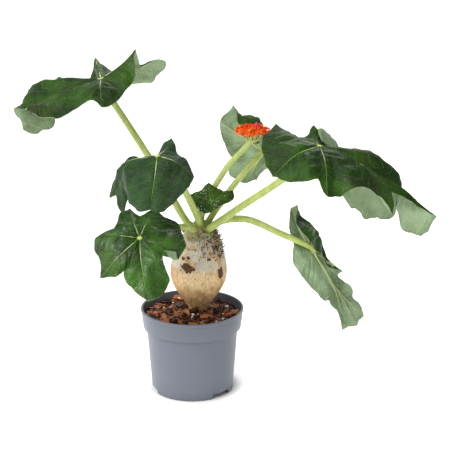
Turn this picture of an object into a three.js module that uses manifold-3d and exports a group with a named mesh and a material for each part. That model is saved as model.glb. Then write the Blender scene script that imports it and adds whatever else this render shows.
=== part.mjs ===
// A buddha belly plant in its nursery pot: a swollen caudex in bark soil, seven long-stalked
// peltate leaves, one of them still young, and an orange-red flower head on its own stalk.
// Millimetres, +Z up, X to the right and Y away from the front, origin under the pot's centre.

import * as THREE from 'three';
import { mergeVertices } from 'three/addons/utils/BufferGeometryUtils.js';
import Module from 'manifold-3d';

const wasm = await Module();
wasm.setup();

// Driving dimensions

const GAP = 0.3; // clearance between neighbouring pieces

const POT = {
  height: 108,
  rimRadius: 65,
  collarRadius: 62, // lower edge of the collar
  collarZ: 83,
  shoulderRadius: 57.8, // body just under the collar
  footRadius: 51.5,
  wall: 1.5,
  floor: 2.2,
  segments: 40,
};
const FOOT = { ringWidth: 4, recess: 6.5, discRadius: 28 };
const NOTCH = { count: 3, first: -44, width: 28, height: 6 };
const DRAIN = { count: 6, radius: 3.4, circle: 37.5 };
const SOIL = { z: 99.5, mound: 5, chips: 34, sectors: 28, rings: 4 };
const CROWN = { x: 12, y: 12 };
const CAUDEX = { x: 8, y: 12, segments: 28, bristles: 32 };
const BLADE = { thickness: 1.1, rings: [0.17, 0.34, 0.5, 0.74, 1], columnsPerRay: 2 };
const STALK = { sides: 8, steps: 12, bend: 9 };
const HEAD = { x: 76, y: 25, z: 327, length: 17, depth: 14, height: 7.5, florets: 16 };

// Leaf points are given as seen by someone who looks down on the plant by this angle:
// to the right, up and nearer, from the point where the stalk meets the blade.
const VIEW_TILT = THREE.MathUtils.degToRad(18);
const RIGHT = new THREE.Vector3(1, 0, 0);
const UP = new THREE.Vector3(0, Math.sin(VIEW_TILT), Math.cos(VIEW_TILT));
const NEARER = new THREE.Vector3(0, -Math.cos(VIEW_TILT), Math.sin(VIEW_TILT));

const COLOUR = {
  leaf: 0x35562e,
  youngLeaf: 0x2f5a1e,
  stalk: 0xa9bd5e,
  caudex: 0xc2ab80,
  pot: 0x7d868e,
  soil: 0x4b2a1c,
  flower: 0xf0512c,
};

// Small helpers

/** Returns a repeatable source of numbers from 0 to 1. */
function seededRandom(seed) {
  let state = seed;
  return () => {
    state = (state * 1664525 + 1013904223) % 4294967296;
    return state / 4294967296;
  };
}

/** Turns a closed geometry into a solid that can be joined and cut. */
function toSolid(geometry) {
  const bare = geometry.clone();
  bare.deleteAttribute('normal');
  bare.deleteAttribute('uv');
  const merged = mergeVertices(bare, 1e-4);
  const vertProperties = new Float32Array(merged.attributes.position.array);
  const triVerts = new Uint32Array(merged.index.array);
  return new wasm.Manifold(new wasm.Mesh({ numProp: 3, vertProperties, triVerts }));
}

/** Turns a solid back into a geometry. */
function toGeometry(solid) {
  const { vertProperties, triVerts } = solid.getMesh();
  const geometry = new THREE.BufferGeometry();
  geometry.setAttribute('position', new THREE.BufferAttribute(new Float32Array(vertProperties), 3));
  geometry.setIndex(new THREE.BufferAttribute(new Uint32Array(triVerts), 1));
  return geometry;
}

/** Makes a closed body of revolution about +Z from [radius, z] pairs. */
function turned(profile, segments) {
  const points = profile.map(([radius, z]) => new THREE.Vector2(radius, z));
  return new THREE.LatheGeometry(points, segments).rotateX(Math.PI / 2);
}

/** Moves every vertex of a geometry by a function of its position. */
function shaped(geometry, move) {
  const position = geometry.attributes.position;
  const vertex = new THREE.Vector3();
  for (let i = 0; i < position.count; i += 1) {
    vertex.fromBufferAttribute(position, i);
    move(vertex);
    position.setXYZ(i, vertex.x, vertex.y, vertex.z);
  }
  return geometry;
}

/** Adds a named mesh of one colour to the plant. */
function addPart(name, geometry, colour, roughness) {
  const material = new THREE.MeshStandardMaterial({ color: colour, roughness, metalness: 0 });
  const mesh = new THREE.Mesh(geometry, material);
  mesh.name = name;
  plant.add(mesh);
}

// Pot

/** Radius of the pot's outer body at a height below the collar. */
function potRadius(z) {
  return THREE.MathUtils.mapLinear(z, 0, POT.collarZ, POT.footRadius, POT.shoulderRadius);
}

/** The thin-walled pot with its collar, foot ring, notches and drain holes. */
function makePot() {
  const floorZ = FOOT.recess + POT.floor;
  const footInner = POT.footRadius - FOOT.ringWidth;
  const inside = POT.rimRadius - POT.wall;
  const shell = toSolid(turned([
    [0, 0],
    [FOOT.discRadius, 0],
    [FOOT.discRadius + 2, FOOT.recess],
    [footInner, FOOT.recess],
    [footInner + 1.5, 0],
    [POT.footRadius - 0.8, 0],
    [potRadius(1), 1],
    [potRadius(POT.collarZ - 3), POT.collarZ - 3],
    [POT.shoulderRadius + 0.4, POT.collarZ],
    [POT.collarRadius - 0.6, POT.collarZ],
    [POT.collarRadius, POT.collarZ + 0.8],
    [POT.rimRadius - 1.2, POT.height - 4],
    [POT.rimRadius, POT.height - 3],
    [POT.rimRadius, POT.height - 0.6],
    [POT.rimRadius - 0.6, POT.height],
    [inside - 0.8, POT.height],
    [inside - 1.4, POT.height - 1.4],
    [POT.collarRadius - POT.wall, POT.collarZ + 3],
    [POT.shoulderRadius - POT.wall, POT.collarZ - 2],
    [potRadius(floorZ + 2) - POT.wall, floorZ + 2],
    [potRadius(floorZ) - POT.wall - 2, floorZ],
    [FOOT.discRadius, floorZ],
    [FOOT.discRadius - 2, POT.floor],
    [0, POT.floor],
  ], POT.segments));
  let pot = shell;
  for (let i = 0; i < NOTCH.count; i += 1) {
    const notch = new THREE.BoxGeometry(24, NOTCH.width, 2 * NOTCH.height);
    notch.translate(POT.footRadius + 3, 0, 0);
    notch.rotateZ(THREE.MathUtils.degToRad(NOTCH.first + i * 360 / NOTCH.count));
    pot = pot.subtract(toSolid(notch));
  }
  for (let i = 0; i < DRAIN.count; i += 1) {
    const hole = new THREE.CylinderGeometry(DRAIN.radius, DRAIN.radius, 20, 10).rotateX(Math.PI / 2);
    hole.translate(DRAIN.circle, 0, 0).rotateZ((i + 0.5) * 2 * Math.PI / DRAIN.count);
    pot = pot.subtract(toSolid(hole));
  }
  return toGeometry(pot);
}

// Caudex

/** The caudex outline as [radius, z], swollen above the soil and narrow at the crown. */
function caudexProfile(extra) {
  return [
    [0, 80 - extra],
    [7 + extra, 80 - extra],
    [11.5 + extra, 92],
    [13.5 + extra, 104],
    [18.5 + extra, 114],
    [27.5 + extra, 127],
    [33.6 + extra, 140],
    [35.4 + extra, 152],
    [34.4 + extra, 163],
    [31.2 + extra, 174],
    [27.4 + extra, 187],
    [22.8 + extra, 199],
    [18.6 + extra, 207],
    [13 + extra, 213],
    [7.5 + extra, 218],
    [0, 220 + extra],
  ];
}

/** Leans the caudex to its crown and gives it shallow swellings. */
function makeCaudexBody(extra) {
  return shaped(turned(caudexProfile(extra), CAUDEX.segments), (vertex) => {
    const angle = Math.atan2(vertex.y, vertex.x);
    const height = THREE.MathUtils.clamp((vertex.z - 104) / 110, 0, 1);
    const swelling = Math.sin(height * Math.PI);
    const waves = 0.02 * Math.sin(2 * angle + 0.6) + 0.012 * Math.sin(5 * angle + 9 * height);
    const factor = 1 + swelling * waves;
    vertex.x = vertex.x * factor + THREE.MathUtils.lerp(CAUDEX.x, CROWN.x, height * height);
    vertex.y = vertex.y * factor + CAUDEX.y;
  });
}

/** Radius of the caudex at a height. */
function caudexRadius(z) {
  const profile = caudexProfile(0);
  const next = profile.findIndex(([, level]) => level > z);
  const [[r0, z0], [r1, z1]] = [profile[next - 1], profile[next]];
  return THREE.MathUtils.mapLinear(z, z0, z1, r0, r1);
}

/** The caudex with the stubs of old stipules, thickest on its upper right. */
function makeCaudex() {
  const random = seededRandom(7);
  let caudex = toSolid(makeCaudexBody(0));
  for (let i = 0; i < CAUDEX.bristles; i += 1) {
    const z = 172 + 28 * Math.sqrt(random());
    const angle = (i % 3 === 2 ? 150 : -20) + 150 * (random() - 0.5);
    const length = 4 + 4 * random();
    const stub = new THREE.ConeGeometry(0.9, length, 3).translate(0, length / 2 - 1.6, 0);
    stub.rotateZ(-Math.PI / 2 + 0.5 * random()).rotateX(0.7 * (random() - 0.5));
    stub.rotateX(Math.PI / 2).translate(caudexRadius(z), 0, 0).rotateZ(THREE.MathUtils.degToRad(angle));
    stub.translate(THREE.MathUtils.lerp(CAUDEX.x, CROWN.x, ((z - 104) / 110) ** 2), CAUDEX.y, z);
    caudex = caudex.add(toSolid(stub));
  }
  return toGeometry(caudex);
}

// Soil

/** The bark soil: a filling that rises to the caudex, with coarse chips on top. */
function makeSoil() {
  const random = seededRandom(21);
  const edge = (z) => potRadius(z) - POT.wall - GAP;
  const bottom = FOOT.recess + POT.floor + GAP;
  const dish = POT.floor + GAP;
  const profile = [[0, dish], [FOOT.discRadius - 2.3, dish], [FOOT.discRadius - 0.3, bottom]];
  profile.push([edge(bottom) - 2.4, bottom], [edge(bottom + 3), bottom + 3], [edge(80), POT.collarZ - 1.5]);
  profile.push([POT.collarRadius - POT.wall - GAP - 0.2, POT.collarZ + 4]);
  const topEdge = POT.collarRadius - POT.wall - GAP + 0.7;
  for (let ring = SOIL.rings; ring >= 0; ring -= 1) {
    profile.push([topEdge * ring / SOIL.rings, SOIL.z]);
  }
  const filling = shaped(turned(profile, SOIL.sectors), (vertex) => {
    if (vertex.z < SOIL.z - 0.01) return;
    const radius = Math.hypot(vertex.x, vertex.y);
    const fine = Math.sin(vertex.x * 0.31 + 1) * Math.cos(vertex.y * 0.27);
    const grain = fine + Math.sin(vertex.x * 0.13 - vertex.y * 0.17);
    vertex.z += SOIL.mound * Math.exp(-((radius / 26) ** 2)) + 0.8 * grain - 1;
  });
  let soil = toSolid(filling);
  for (let i = 0; i < SOIL.chips; i += 1) {
    const size = 2.6 + 3.4 * random();
    const reach = Math.sqrt((i + 0.5) / SOIL.chips) * (topEdge - 8);
    const turn = i * 2.4;
    const chip = new THREE.BoxGeometry(size * 1.9, size * 1.2, size * 0.8);
    chip.rotateX(0.8 * (random() - 0.5)).rotateY(0.8 * (random() - 0.5)).rotateZ(6.3 * random());
    const level = SOIL.z + SOIL.mound * Math.exp(-((reach / 26) ** 2));
    chip.translate(reach * Math.cos(turn), reach * Math.sin(turn), level);
    soil = soil.add(toSolid(chip));
  }
  return toGeometry(soil.subtract(toSolid(makeCaudexBody(GAP))));
}

// Leaves

/** Turns right, up, nearer into a vector of the plant's frame. */
function seen(right, up, nearer) {
  return new THREE.Vector3()
    .addScaledVector(RIGHT, right)
    .addScaledVector(UP, up)
    .addScaledVector(NEARER, nearer);
}

// A ray runs from the stalk's end over a middle point to the margin. A tip is a lobe's point
// with a main vein, a corner is a sharp notch, and a side is a smooth stretch of the margin.
const ray = (smooth) => (right, up, nearer, midRight, midUp, midNearer) => ({
  smooth,
  margin: seen(right, up, nearer),
  middle: seen(midRight, midUp, midNearer),
});
const tip = ray(0);
const corner = ray(0);
const side = ray(1);

const LEAVES = {
  upper_left: {
    hub: [-108, -10, 405],
    rays: [
      tip(-88, -36, 6, -46, -17, 4),
      side(-80, -47, 28, -44, -20, 20),
      side(-58, -54, 42, -32, -21, 26),
      side(-31, -42, 46, -17, -16, 26),
      side(-8, -31, 46, -4, -10, 24),
      tip(5, -39, 56, 2, -13, 32),
      side(23, -34, 48, 14, -9, 28),
      side(37, -12, 26, 22, 0, 14),
      side(43, 8, 14, 26, 8, 8),
      tip(42, 35, 4, 24, 17, 2),
      corner(47, 18, -20, 26, 14, -10),
      side(68, 27, -34, 36, 17, -18),
      tip(77, 24, -44, 38, 17, -24),
      side(67, 7, -54, 34, 15, -30),
      side(46, -4, -60, 28, 11, -32),
      side(15, 9, -60, 10, 7, -32),
      tip(-12, 32, -64, -5, 13, -34),
      side(-19, 5, -54, -10, 1, -27),
      side(-38, -6, -56, -22, -4, -28),
      tip(-57, 8, -62, -32, -2, -30),
      side(-64, -10, -68, -48, -5, -37),
      side(-68, -50, -70, -64, -6, -42),
      side(-80, -60, -58, -82, -1, -41),
      side(-95, -60, -44, -88, -5, -31),
      side(-106, -39, -22, -77, -15, -14),
    ],
  },
  mid_left: {
    hub: [-38, -90, 331],
    rays: [
      tip(-8, -64, 12, -2, -28, 22),
      side(8, -66, 10, 6, -28, 22),
      side(25, -51, 0, 14, -24, 20),
      side(38, -38, -4, 22, -17, 14),
      tip(43, -25, -10, 23, -8, 8),
      side(34, -8, -18, 19, -2, -6),
      side(25, -1, -22, 14, 1, -12),
      tip(16, 22, -36, 9, 8, -18),
      side(5, 11, -33, 3, 4, -17),
      side(-8, -2, -32, -4, -1, -16),
      side(-24, -5, -40, -12, -2, -20),
      side(-38, -5, -50, -22, -2, -24),
      side(-55, -27, -54, -34, -5, -28),
      tip(-59, -49, -50, -42, -9, -27),
      corner(-52, -47, -40, -40, -13, -20),
      side(-42, -68, -36, -38, -16, -14),
      corner(-33, -38, -24, -36, -12, -2),
      corner(-30, -55, -2, -33, -22, 14),
      side(-21, -66, 6, -12, -30, 22),
    ],
  },
  lower_left: {
    hub: [-60, -95, 231],
    rays: [
      tip(12, -74, 34, 4, -36, 22),
      side(29, -69, 27, 13, -31, 20),
      side(38, -49, 18, 19, -24, 18),
      side(31, -33, 12, 16, -16, 14),
      corner(26, -22, 6, 14, -10, 10),
      tip(46, -26, 2, 24, -9, 6),
      side(54, -9, -12, 29, -4, 2),
      side(47, 10, -22, 26, 6, -4),
      side(35, 20, -26, 18, 11, -8),
      tip(13, 33, -30, 7, 17, -10),
      corner(0, 27, -20, 0, 13, -6),
      tip(-13, 35, -30, -7, 18, -10),
      side(-24, 29, -24, -13, 15, -6),
      corner(-31, 11, -10, -16, 6, 2),
      tip(-47, 4, -12, -26, 3, 2),
      side(-54, -11, -6, -29, -4, 4),
      side(-50, -28, 2, -27, -13, 10),
      tip(-46, -48, 6, -24, -22, 14),
      side(-27, -46, 14, -14, -22, 16),
      corner(-13, -35, 15, -7, -18, 14),
      side(-15, -48, 20, -7, -24, 17),
      side(-7, -62, 28, -4, -30, 20),
    ],
  },
  right: {
    hub: [154, -60, 335],
    rays: [
      tip(-57, -38, 22, -29, -12, 16),
      side(-38, -44, 36, -20, -14, 22),
      side(-18, -45, 46, -10, -14, 26),
      corner(-5, -43, 44, -3, -14, 24),
      tip(6, -62, 50, 5, -22, 30),
      side(21, -62, 46, 15, -22, 28),
      side(38, -54, 44, 24, -19, 24),
      side(54, -54, 40, 34, -18, 20),
      side(70, -62, 34, 44, -20, 19),
      tip(84, -83, 26, 50, -34, 14),
      corner(87, -57, 4, 58, -31, 6),
      side(106, -66, -4, 70, -35, -2),
      tip(141, -84, -16, 82, -40, -8),
      corner(125, -110, -26, 84, -42, -14),
      side(103, -100, -32, 87, -40, -18),
      corner(93, -75, -36, 89, -32, -22),
      side(89, -88, -44, 87, -21, -28),
      side(71, -88, -56, 72, -13, -36),
      side(55, -83, -64, 56, -18, -40),
      side(39, -69, -66, 40, -15, -40),
      side(26, -38, -66, 25, -12, -38),
      side(26, -3, -66, 17, -5, -36),
      side(14, 17, -60, 7, 3, -32),
      tip(-5, 27, -46, -3, 9, -26),
      side(-14, 14, -44, -8, 8, -22),
      side(-28, 16, -42, -14, 7, -18),
      side(-40, 19, -38, -20, 9, -16),
      tip(-51, 28, -34, -26, 10, -12),
      side(-68, 5, -14, -35, 4, 0),
      side(-68, -14, 6, -35, -2, 10),
    ],
  },
  lower_right: {
    hub: [150, -15, 187],
    rays: [
      tip(55, -92, 10, 31, -51, 2),
      side(46, -94, 14, 30, -52, 4),
      tip(36, -97, 18, 28, -51, 6),
      corner(30, -72, 20, 22, -46, 9),
      side(22, -60, 26, 13, -34, 12),
      side(12, -58, 28, 5, -28, 14),
      side(-5, -40, 24, -3, -20, 12),
      side(-17, -25, 20, -9, -12, 10),
      side(-25, -10, 14, -13, -5, 8),
      side(-24, 9, 4, -12, 4, 4),
      side(-29, 25, -6, -15, 12, -4),
      side(-29, 43, -14, -15, 20, -10),
      tip(-26, 55, -18, -15, 27, -10),
      tip(-18, 58, -8, -11, 34, -8),
      side(-19, 33, 16, -4, 38, -8),
      side(-9, 16, 18, 6, 27, -8),
      side(2, 7, 16, 11, 15, -8),
      side(13, -1, 9, 15, 4, -8),
      side(22, -16, -4, 17, -4, -8),
      tip(39, -25, -12, 20, -11, -10),
      side(33, -30, -13, 18, -19, -11),
      side(43, -40, -16, 22, -30, -11),
      side(50, -47, -14, 25, -35, -10),
      side(53, -57, -10, 28, -41, -8),
      side(62, -66, -8, 30, -46, -5),
      tip(64, -81, 0, 31, -49, -2),
    ],
  },
  back: {
    hub: [90, 60, 295],
    rays: [
      tip(-38, 60, -12, -21, 31, -8),
      side(-30, 36, 14, -18, 44, -9),
      side(-18, 32, 12, -9, 42, -9),
      side(-5, 27, 4, -2, 34, -10),
      side(13, 17, -12, 9, 14, -10),
      side(21, -8, -20, 10, -4, -8),
      side(9, -18, -12, 5, -9, -5),
      side(-4, -28, -6, -1, -12, -3),
      corner(-10, -35, -4, -6, -16, -2),
      tip(-22, -40, -6, -10, -19, -3),
      side(-33, -36, -8, -16, -17, -4),
      side(-44, -26, -10, -21, -12, -5),
      corner(-37, -9, -10, -18, -4, -5),
      side(-46, 3, -6, -21, 2, -4),
      side(-54, 22, -2, -25, 11, -3),
      tip(-55, 37, -4, -26, 18, -5),
      side(-48, 52, -10, -23, 25, -8),
    ],
  },
  young: {
    hub: [24, 3, 247],
    rays: [
      side(-3, -16, 5, -1, -6, 3),
      side(14, -6, 2, 6, -2, 3),
      side(28, 2, -2, 14, 2, 2),
      tip(28, 13, -8, 14, 6, 0),
      corner(16, 12, -7, 8, 6, -1),
      side(9, 17, -8, 4, 8, -1),
      tip(-3, 23, -10, -2, 9, -2),
      corner(-11, 15, -7, -5, 7, -1),
      tip(-26, 8, -2, -12, 4, 1),
      side(-20, -2, 2, -10, 0, 2),
      side(-14, -13, 4, -7, -4, 3),
    ],
  },
};

/** Curve value between neighbouring rays; a ray that isn't smooth makes a sharp point. */
function betweenRays(rays, key, least, place) {
  const count = rays.length;
  const i = Math.floor(place) % count;
  const t = place - Math.floor(place);
  const at = (k) => rays[(k + count) % count];
  const slope = (k) => {
    const chord = at(k + 1)[key].clone().sub(at(k - 1)[key]);
    return chord.multiplyScalar(0.5 * Math.max(at(k).smooth, least));
  };
  return new THREE.Vector3()
    .addScaledVector(at(i)[key], 2 * t ** 3 - 3 * t ** 2 + 1)
    .addScaledVector(slope(i), t ** 3 - 2 * t ** 2 + t)
    .addScaledVector(at(i + 1)[key], 3 * t ** 2 - 2 * t ** 3)
    .addScaledVector(slope(i + 1), t ** 3 - t ** 2);
}

/** The blade's mid surface: the hub first, then ring after ring of points out to the margin. */
function bladeGrid({ hub, rays }) {
  const centre = new THREE.Vector3(...hub);
  const columns = rays.length * BLADE.columnsPerRay;
  const curves = Array.from({ length: columns }, (_, column) => {
    const place = column / BLADE.columnsPerRay;
    const middle = betweenRays(rays, 'middle', 0.6, place);
    const margin = betweenRays(rays, 'margin', 0, place);
    return new THREE.CatmullRomCurve3([new THREE.Vector3(), middle, margin], false, 'catmullrom', 0.5);
  });
  const points = [centre];
  for (const along of BLADE.rings) {
    curves.forEach((curve) => points.push(curve.getPoint(along).add(centre)));
  }
  return { points, columns };
}

/** Triangles of a blade's upper face, as indices into its grid. */
function bladeFaces(columns, rings) {
  const faces = [];
  for (let column = 0; column < columns; column += 1) {
    const next = (column + 1) % columns;
    faces.push([0, 1 + column, 1 + next]);
    for (let ring = 1; ring < rings; ring += 1) {
      const inner = 1 + (ring - 1) * columns;
      const outer = inner + columns;
      faces.push([inner + column, outer + column, outer + next]);
      faces.push([inner + column, outer + next, inner + next]);
    }
  }
  return faces;
}

/** Normal at each grid point, where every face counts alike however small it is. */
function bladeNormals(points, faces) {
  const normals = points.map(() => new THREE.Vector3());
  for (const [a, b, c] of faces) {
    const across = points[b].clone().sub(points[a]).cross(points[c].clone().sub(points[a])).normalize();
    [a, b, c].forEach((point) => normals[point].add(across));
  }
  return normals.map((normal) => normal.normalize());
}

/** Closes a blade's grid into a solid between two offsets, out to a number of rings. */
function bladeSolid({ points, columns }, rings, above, below) {
  const faces = bladeFaces(columns, rings);
  const used = points.slice(0, 1 + rings * columns);
  const normals = bladeNormals(used, faces);
  const upper = used.map((point, i) => point.clone().addScaledVector(normals[i], above));
  const lower = used.map((point, i) => point.clone().addScaledVector(normals[i], -below));
  const count = used.length;
  const index = [];
  for (const [a, b, c] of faces) {
    index.push(a, b, c, count + a, count + c, count + b);
  }
  const margin = 1 + (rings - 1) * columns;
  for (let column = 0; column < columns; column += 1) {
    const a = margin + column;
    const b = margin + (column + 1) % columns;
    index.push(a, count + a, count + b, a, count + b, b);
  }
  const geometry = new THREE.BufferGeometry().setFromPoints([...upper, ...lower]);
  geometry.setIndex(index);
  return { geometry, normal: normals[0] };
}

/** A leaf's thin blade, split alike on both faces. */
function makeBlade(leaf) {
  const half = BLADE.thickness / 2;
  return bladeSolid(bladeGrid(leaf), BLADE.rings.length, half, half).geometry;
}

// Stalks

/** A round tapering stalk along a curve, closed at both ends. */
function makeStalk(points, baseRadius, topRadius, sides = STALK.sides, steps = STALK.steps) {
  const curve = new THREE.CatmullRomCurve3(points.map((point) => new THREE.Vector3(...point)));
  const frames = curve.computeFrenetFrames(steps, false);
  return shaped(new THREE.CylinderGeometry(topRadius, baseRadius, 1, sides, steps), (vertex) => {
    const along = THREE.MathUtils.clamp(vertex.y + 0.5, 0, 1);
    const step = Math.round(along * steps);
    const { x, z } = vertex;
    curve.getPointAt(along, vertex);
    vertex.addScaledVector(frames.binormals[step], x).addScaledVector(frames.normals[step], z);
  });
}

const PETIOLES = {
  upper_left: { from: [[2, 12, 207], [-7, 11, 218], [-44, 2, 290], [-78, -5, 349]], base: 4.8, top: 3.6 },
  mid_left: { from: [[11, 7, 214], [8, -2, 226], [-8, -34, 272], [-24, -64, 306]], base: 4.6, top: 3.5 },
  lower_left: { from: [[6, 4, 207], [-2, -8, 216], [-30, -46, 226]], base: 4.6, top: 3.4 },
  right: { from: [[17, 5, 207], [26, -4, 216], [62, -20, 247], [110, -42, 287]], base: 5, top: 3.8 },
  lower_right: { from: [[22, 11, 207], [34, 8, 218], [68, -6, 226], [108, -20, 213]], base: 4.8, top: 3.5 },
  back: { from: [[19, 15, 213], [26, 16, 225], [62, 33, 271]], base: 4.4, top: 3.4 },
  young: { from: [[12, 12, 218], [16, 8, 232]], base: 2.6, top: 2.2 },
};

/** The stalk of a leaf, which ends square to the blade's lower face and just clear of it. */
function makePetiole({ from, base, top }, leaf) {
  const clearance = BLADE.thickness / 2 + GAP;
  const { geometry, normal } = bladeSolid(bladeGrid(leaf), 2, 3, clearance);
  const centre = new THREE.Vector3(...leaf.hub);
  const end = centre.clone().addScaledVector(normal, -clearance);
  const bend = centre.clone().addScaledVector(normal, -STALK.bend);
  const stalk = toSolid(makeStalk([...from, bend.toArray(), end.toArray()], base, top));
  return toGeometry(stalk.subtract(toSolid(geometry)).subtract(toSolid(makeCaudexBody(GAP))));
}

// Flower

const FLOWER_STALK = {
  from: [[7, 19, 213], [11, 23, 226], [44, 25, 284], [70, 25, 314]],
  base: 4.4,
  top: 3,
};

/** Centre and direction of each floret, spread evenly over the head's upper side. */
function floretPlaces() {
  const places = [];
  for (let i = 0; i < HEAD.florets; i += 1) {
    const rise = 1 - 0.92 * (i + 0.5) / HEAD.florets;
    const turn = i * 2.39996;
    const spread = Math.sqrt(1 - rise * rise);
    places.push(new THREE.Vector3(spread * Math.cos(turn), spread * Math.sin(turn), rise));
  }
  return places;
}

/** One five-petalled floret that opens along +Z. */
function makeFloret(random) {
  const tube = new THREE.ConeGeometry(1.8, 9, 5).rotateX(-Math.PI / 2).translate(0, 0, -2.8);
  let floret = toSolid(tube);
  for (let petal = 0; petal < 5; petal += 1) {
    const blade = new THREE.OctahedronGeometry(1).scale(2.3, 1.5, 0.55).translate(2.2, 0, 0);
    blade.rotateY(-0.35 - 0.25 * random()).translate(0, 0, 0.9);
    blade.rotateZ(petal * 2 * Math.PI / 5 + 0.2 * random());
    floret = floret.add(toSolid(blade));
  }
  return floret;
}

/** The dense flower head: a small core that the florets stand out of. */
function makeHead() {
  const random = seededRandom(5);
  const core = new THREE.SphereGeometry(1, 12, 8).rotateX(Math.PI / 2);
  core.scale(HEAD.length - 3, HEAD.depth - 3, HEAD.height - 2);
  let head = toSolid(core);
  for (const place of floretPlaces()) {
    const outward = place.clone().setZ(place.z + 0.25).normalize();
    const turn = new THREE.Quaternion().setFromUnitVectors(new THREE.Vector3(0, 0, 1), outward);
    const floret = toGeometry(makeFloret(random)).applyQuaternion(turn);
    const lift = 0.88 + 0.14 * random();
    const reach = new THREE.Vector3(HEAD.length - 2, HEAD.depth - 2, HEAD.height).multiplyScalar(lift);
    floret.translate(place.x * reach.x, place.y * reach.y, place.z * reach.z);
    head = head.add(toSolid(floret));
  }
  return toGeometry(head).translate(HEAD.x, HEAD.y, HEAD.z);
}

/** The flower stalk with the short branches that carry the head. */
function makeFlowerStalk() {
  const { from, base, top } = FLOWER_STALK;
  const fork = from[from.length - 1];
  let stalk = toSolid(makeStalk([...from, [HEAD.x, HEAD.y, HEAD.z]], base, top));
  for (let branch = 0; branch < 5; branch += 1) {
    const turn = branch * 2 * Math.PI / 5 + 0.3;
    const end = [HEAD.x + 9 * Math.cos(turn), HEAD.y + 7 * Math.sin(turn), HEAD.z];
    const way = [HEAD.x + 6 * Math.cos(turn), HEAD.y + 5 * Math.sin(turn), fork[2] + 5];
    stalk = stalk.add(toSolid(makeStalk([[fork[0], fork[1], fork[2] - 1], way, end], 1.6, 1.3, 5, 4)));
  }
  const room = new THREE.SphereGeometry(1, 12, 8).rotateX(Math.PI / 2);
  room.scale(HEAD.length - 3 + GAP, HEAD.depth - 3 + GAP, HEAD.height - 2 + GAP);
  room.translate(HEAD.x, HEAD.y, HEAD.z);
  return toGeometry(stalk.subtract(toSolid(room)).subtract(toSolid(makeCaudexBody(GAP))));
}

// Assembly

const plant = new THREE.Group();
addPart('pot', makePot(), COLOUR.pot, 0.45);
addPart('soil', makeSoil(), COLOUR.soil, 0.9);
addPart('caudex', makeCaudex(), COLOUR.caudex, 0.8);
for (const [name, leaf] of Object.entries(LEAVES)) {
  addPart(`leaf_${name}`, makeBlade(leaf), name === 'young' ? COLOUR.youngLeaf : COLOUR.leaf, 0.4);
  addPart(`petiole_${name}`, makePetiole(PETIOLES[name], leaf), COLOUR.stalk, 0.5);
}
addPart('flower_stalk', makeFlowerStalk(), COLOUR.stalk, 0.5);
addPart('flower_head', makeHead(), COLOUR.flower, 0.6);

export default plant;
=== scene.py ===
"""A buddha belly plant in its nursery pot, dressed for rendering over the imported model.

The plant is built piece by piece: the turned pot, the bark soil with perlite, the swollen stem
with its bristly stipules, seven long-stalked leaves and the flower head on its branched stem.
Sizes are millimetres in the fields of each class and metres in Blender.
"""

import logging
import math
import random
from dataclasses import dataclass
from enum import Enum
from typing import Optional, Sequence, Union

import bpy
from mathutils import Matrix, Vector, noise


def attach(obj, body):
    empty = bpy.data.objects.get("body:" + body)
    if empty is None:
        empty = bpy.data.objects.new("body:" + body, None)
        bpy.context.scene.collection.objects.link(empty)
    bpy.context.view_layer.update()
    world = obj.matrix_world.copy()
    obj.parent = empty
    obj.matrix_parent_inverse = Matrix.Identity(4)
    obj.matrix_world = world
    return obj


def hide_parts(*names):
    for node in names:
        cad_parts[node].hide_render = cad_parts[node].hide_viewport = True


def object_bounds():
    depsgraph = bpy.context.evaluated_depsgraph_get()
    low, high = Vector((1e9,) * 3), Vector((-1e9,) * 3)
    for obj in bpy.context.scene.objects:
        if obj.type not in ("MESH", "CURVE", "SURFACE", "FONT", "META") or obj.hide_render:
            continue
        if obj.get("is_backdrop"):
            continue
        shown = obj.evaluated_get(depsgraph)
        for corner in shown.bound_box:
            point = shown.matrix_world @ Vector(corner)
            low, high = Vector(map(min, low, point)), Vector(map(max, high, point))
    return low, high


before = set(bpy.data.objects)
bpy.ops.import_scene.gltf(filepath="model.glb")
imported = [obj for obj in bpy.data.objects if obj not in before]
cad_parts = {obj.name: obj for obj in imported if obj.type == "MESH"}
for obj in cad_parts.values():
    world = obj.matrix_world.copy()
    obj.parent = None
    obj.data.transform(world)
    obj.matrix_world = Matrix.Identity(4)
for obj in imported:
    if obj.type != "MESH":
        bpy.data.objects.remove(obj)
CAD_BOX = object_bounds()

LOG = logging.getLogger("potted_plant")
MM = 0.001
BODY = "root"
GOLDEN_TURN = 2.39996
VEIN_STEP = 11
VEIN_SLANT = 0.75

Colour = tuple[float, float, float]
Place = tuple[float, float, float]
Outline = Sequence[tuple[float, float]]
Socket = bpy.types.NodeSocket
Value = Union[float, Sequence[float], Socket]


# Modelling helpers


def deselect() -> None:
    """Deselects every object."""
    bpy.ops.object.select_all(action="DESELECT")


def choose(piece: bpy.types.Object) -> None:
    """Selects one object alone and makes it active."""
    deselect()
    piece.select_set(True)
    bpy.context.view_layer.objects.active = piece


def named(name: str) -> bpy.types.Object:
    """Names the newest object and its mesh, and returns it."""
    piece = bpy.context.object
    piece.name = piece.data.name = name
    return piece


def shade_smooth(piece: bpy.types.Object, angle: float) -> None:
    """Shades a piece smooth up to an angle between faces, in degrees."""
    choose(piece)
    bpy.ops.object.shade_smooth_by_angle(angle=math.radians(angle))


def grid(name: str, columns: int, rows: int) -> bpy.types.Object:
    """Adds a flat grid from -0.5 to 0.5 on both axes, to be shaped."""
    deselect()
    bpy.ops.mesh.primitive_grid_add(x_subdivisions=columns, y_subdivisions=rows, size=1, location=(0, 0, 0))
    return named(name)


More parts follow.
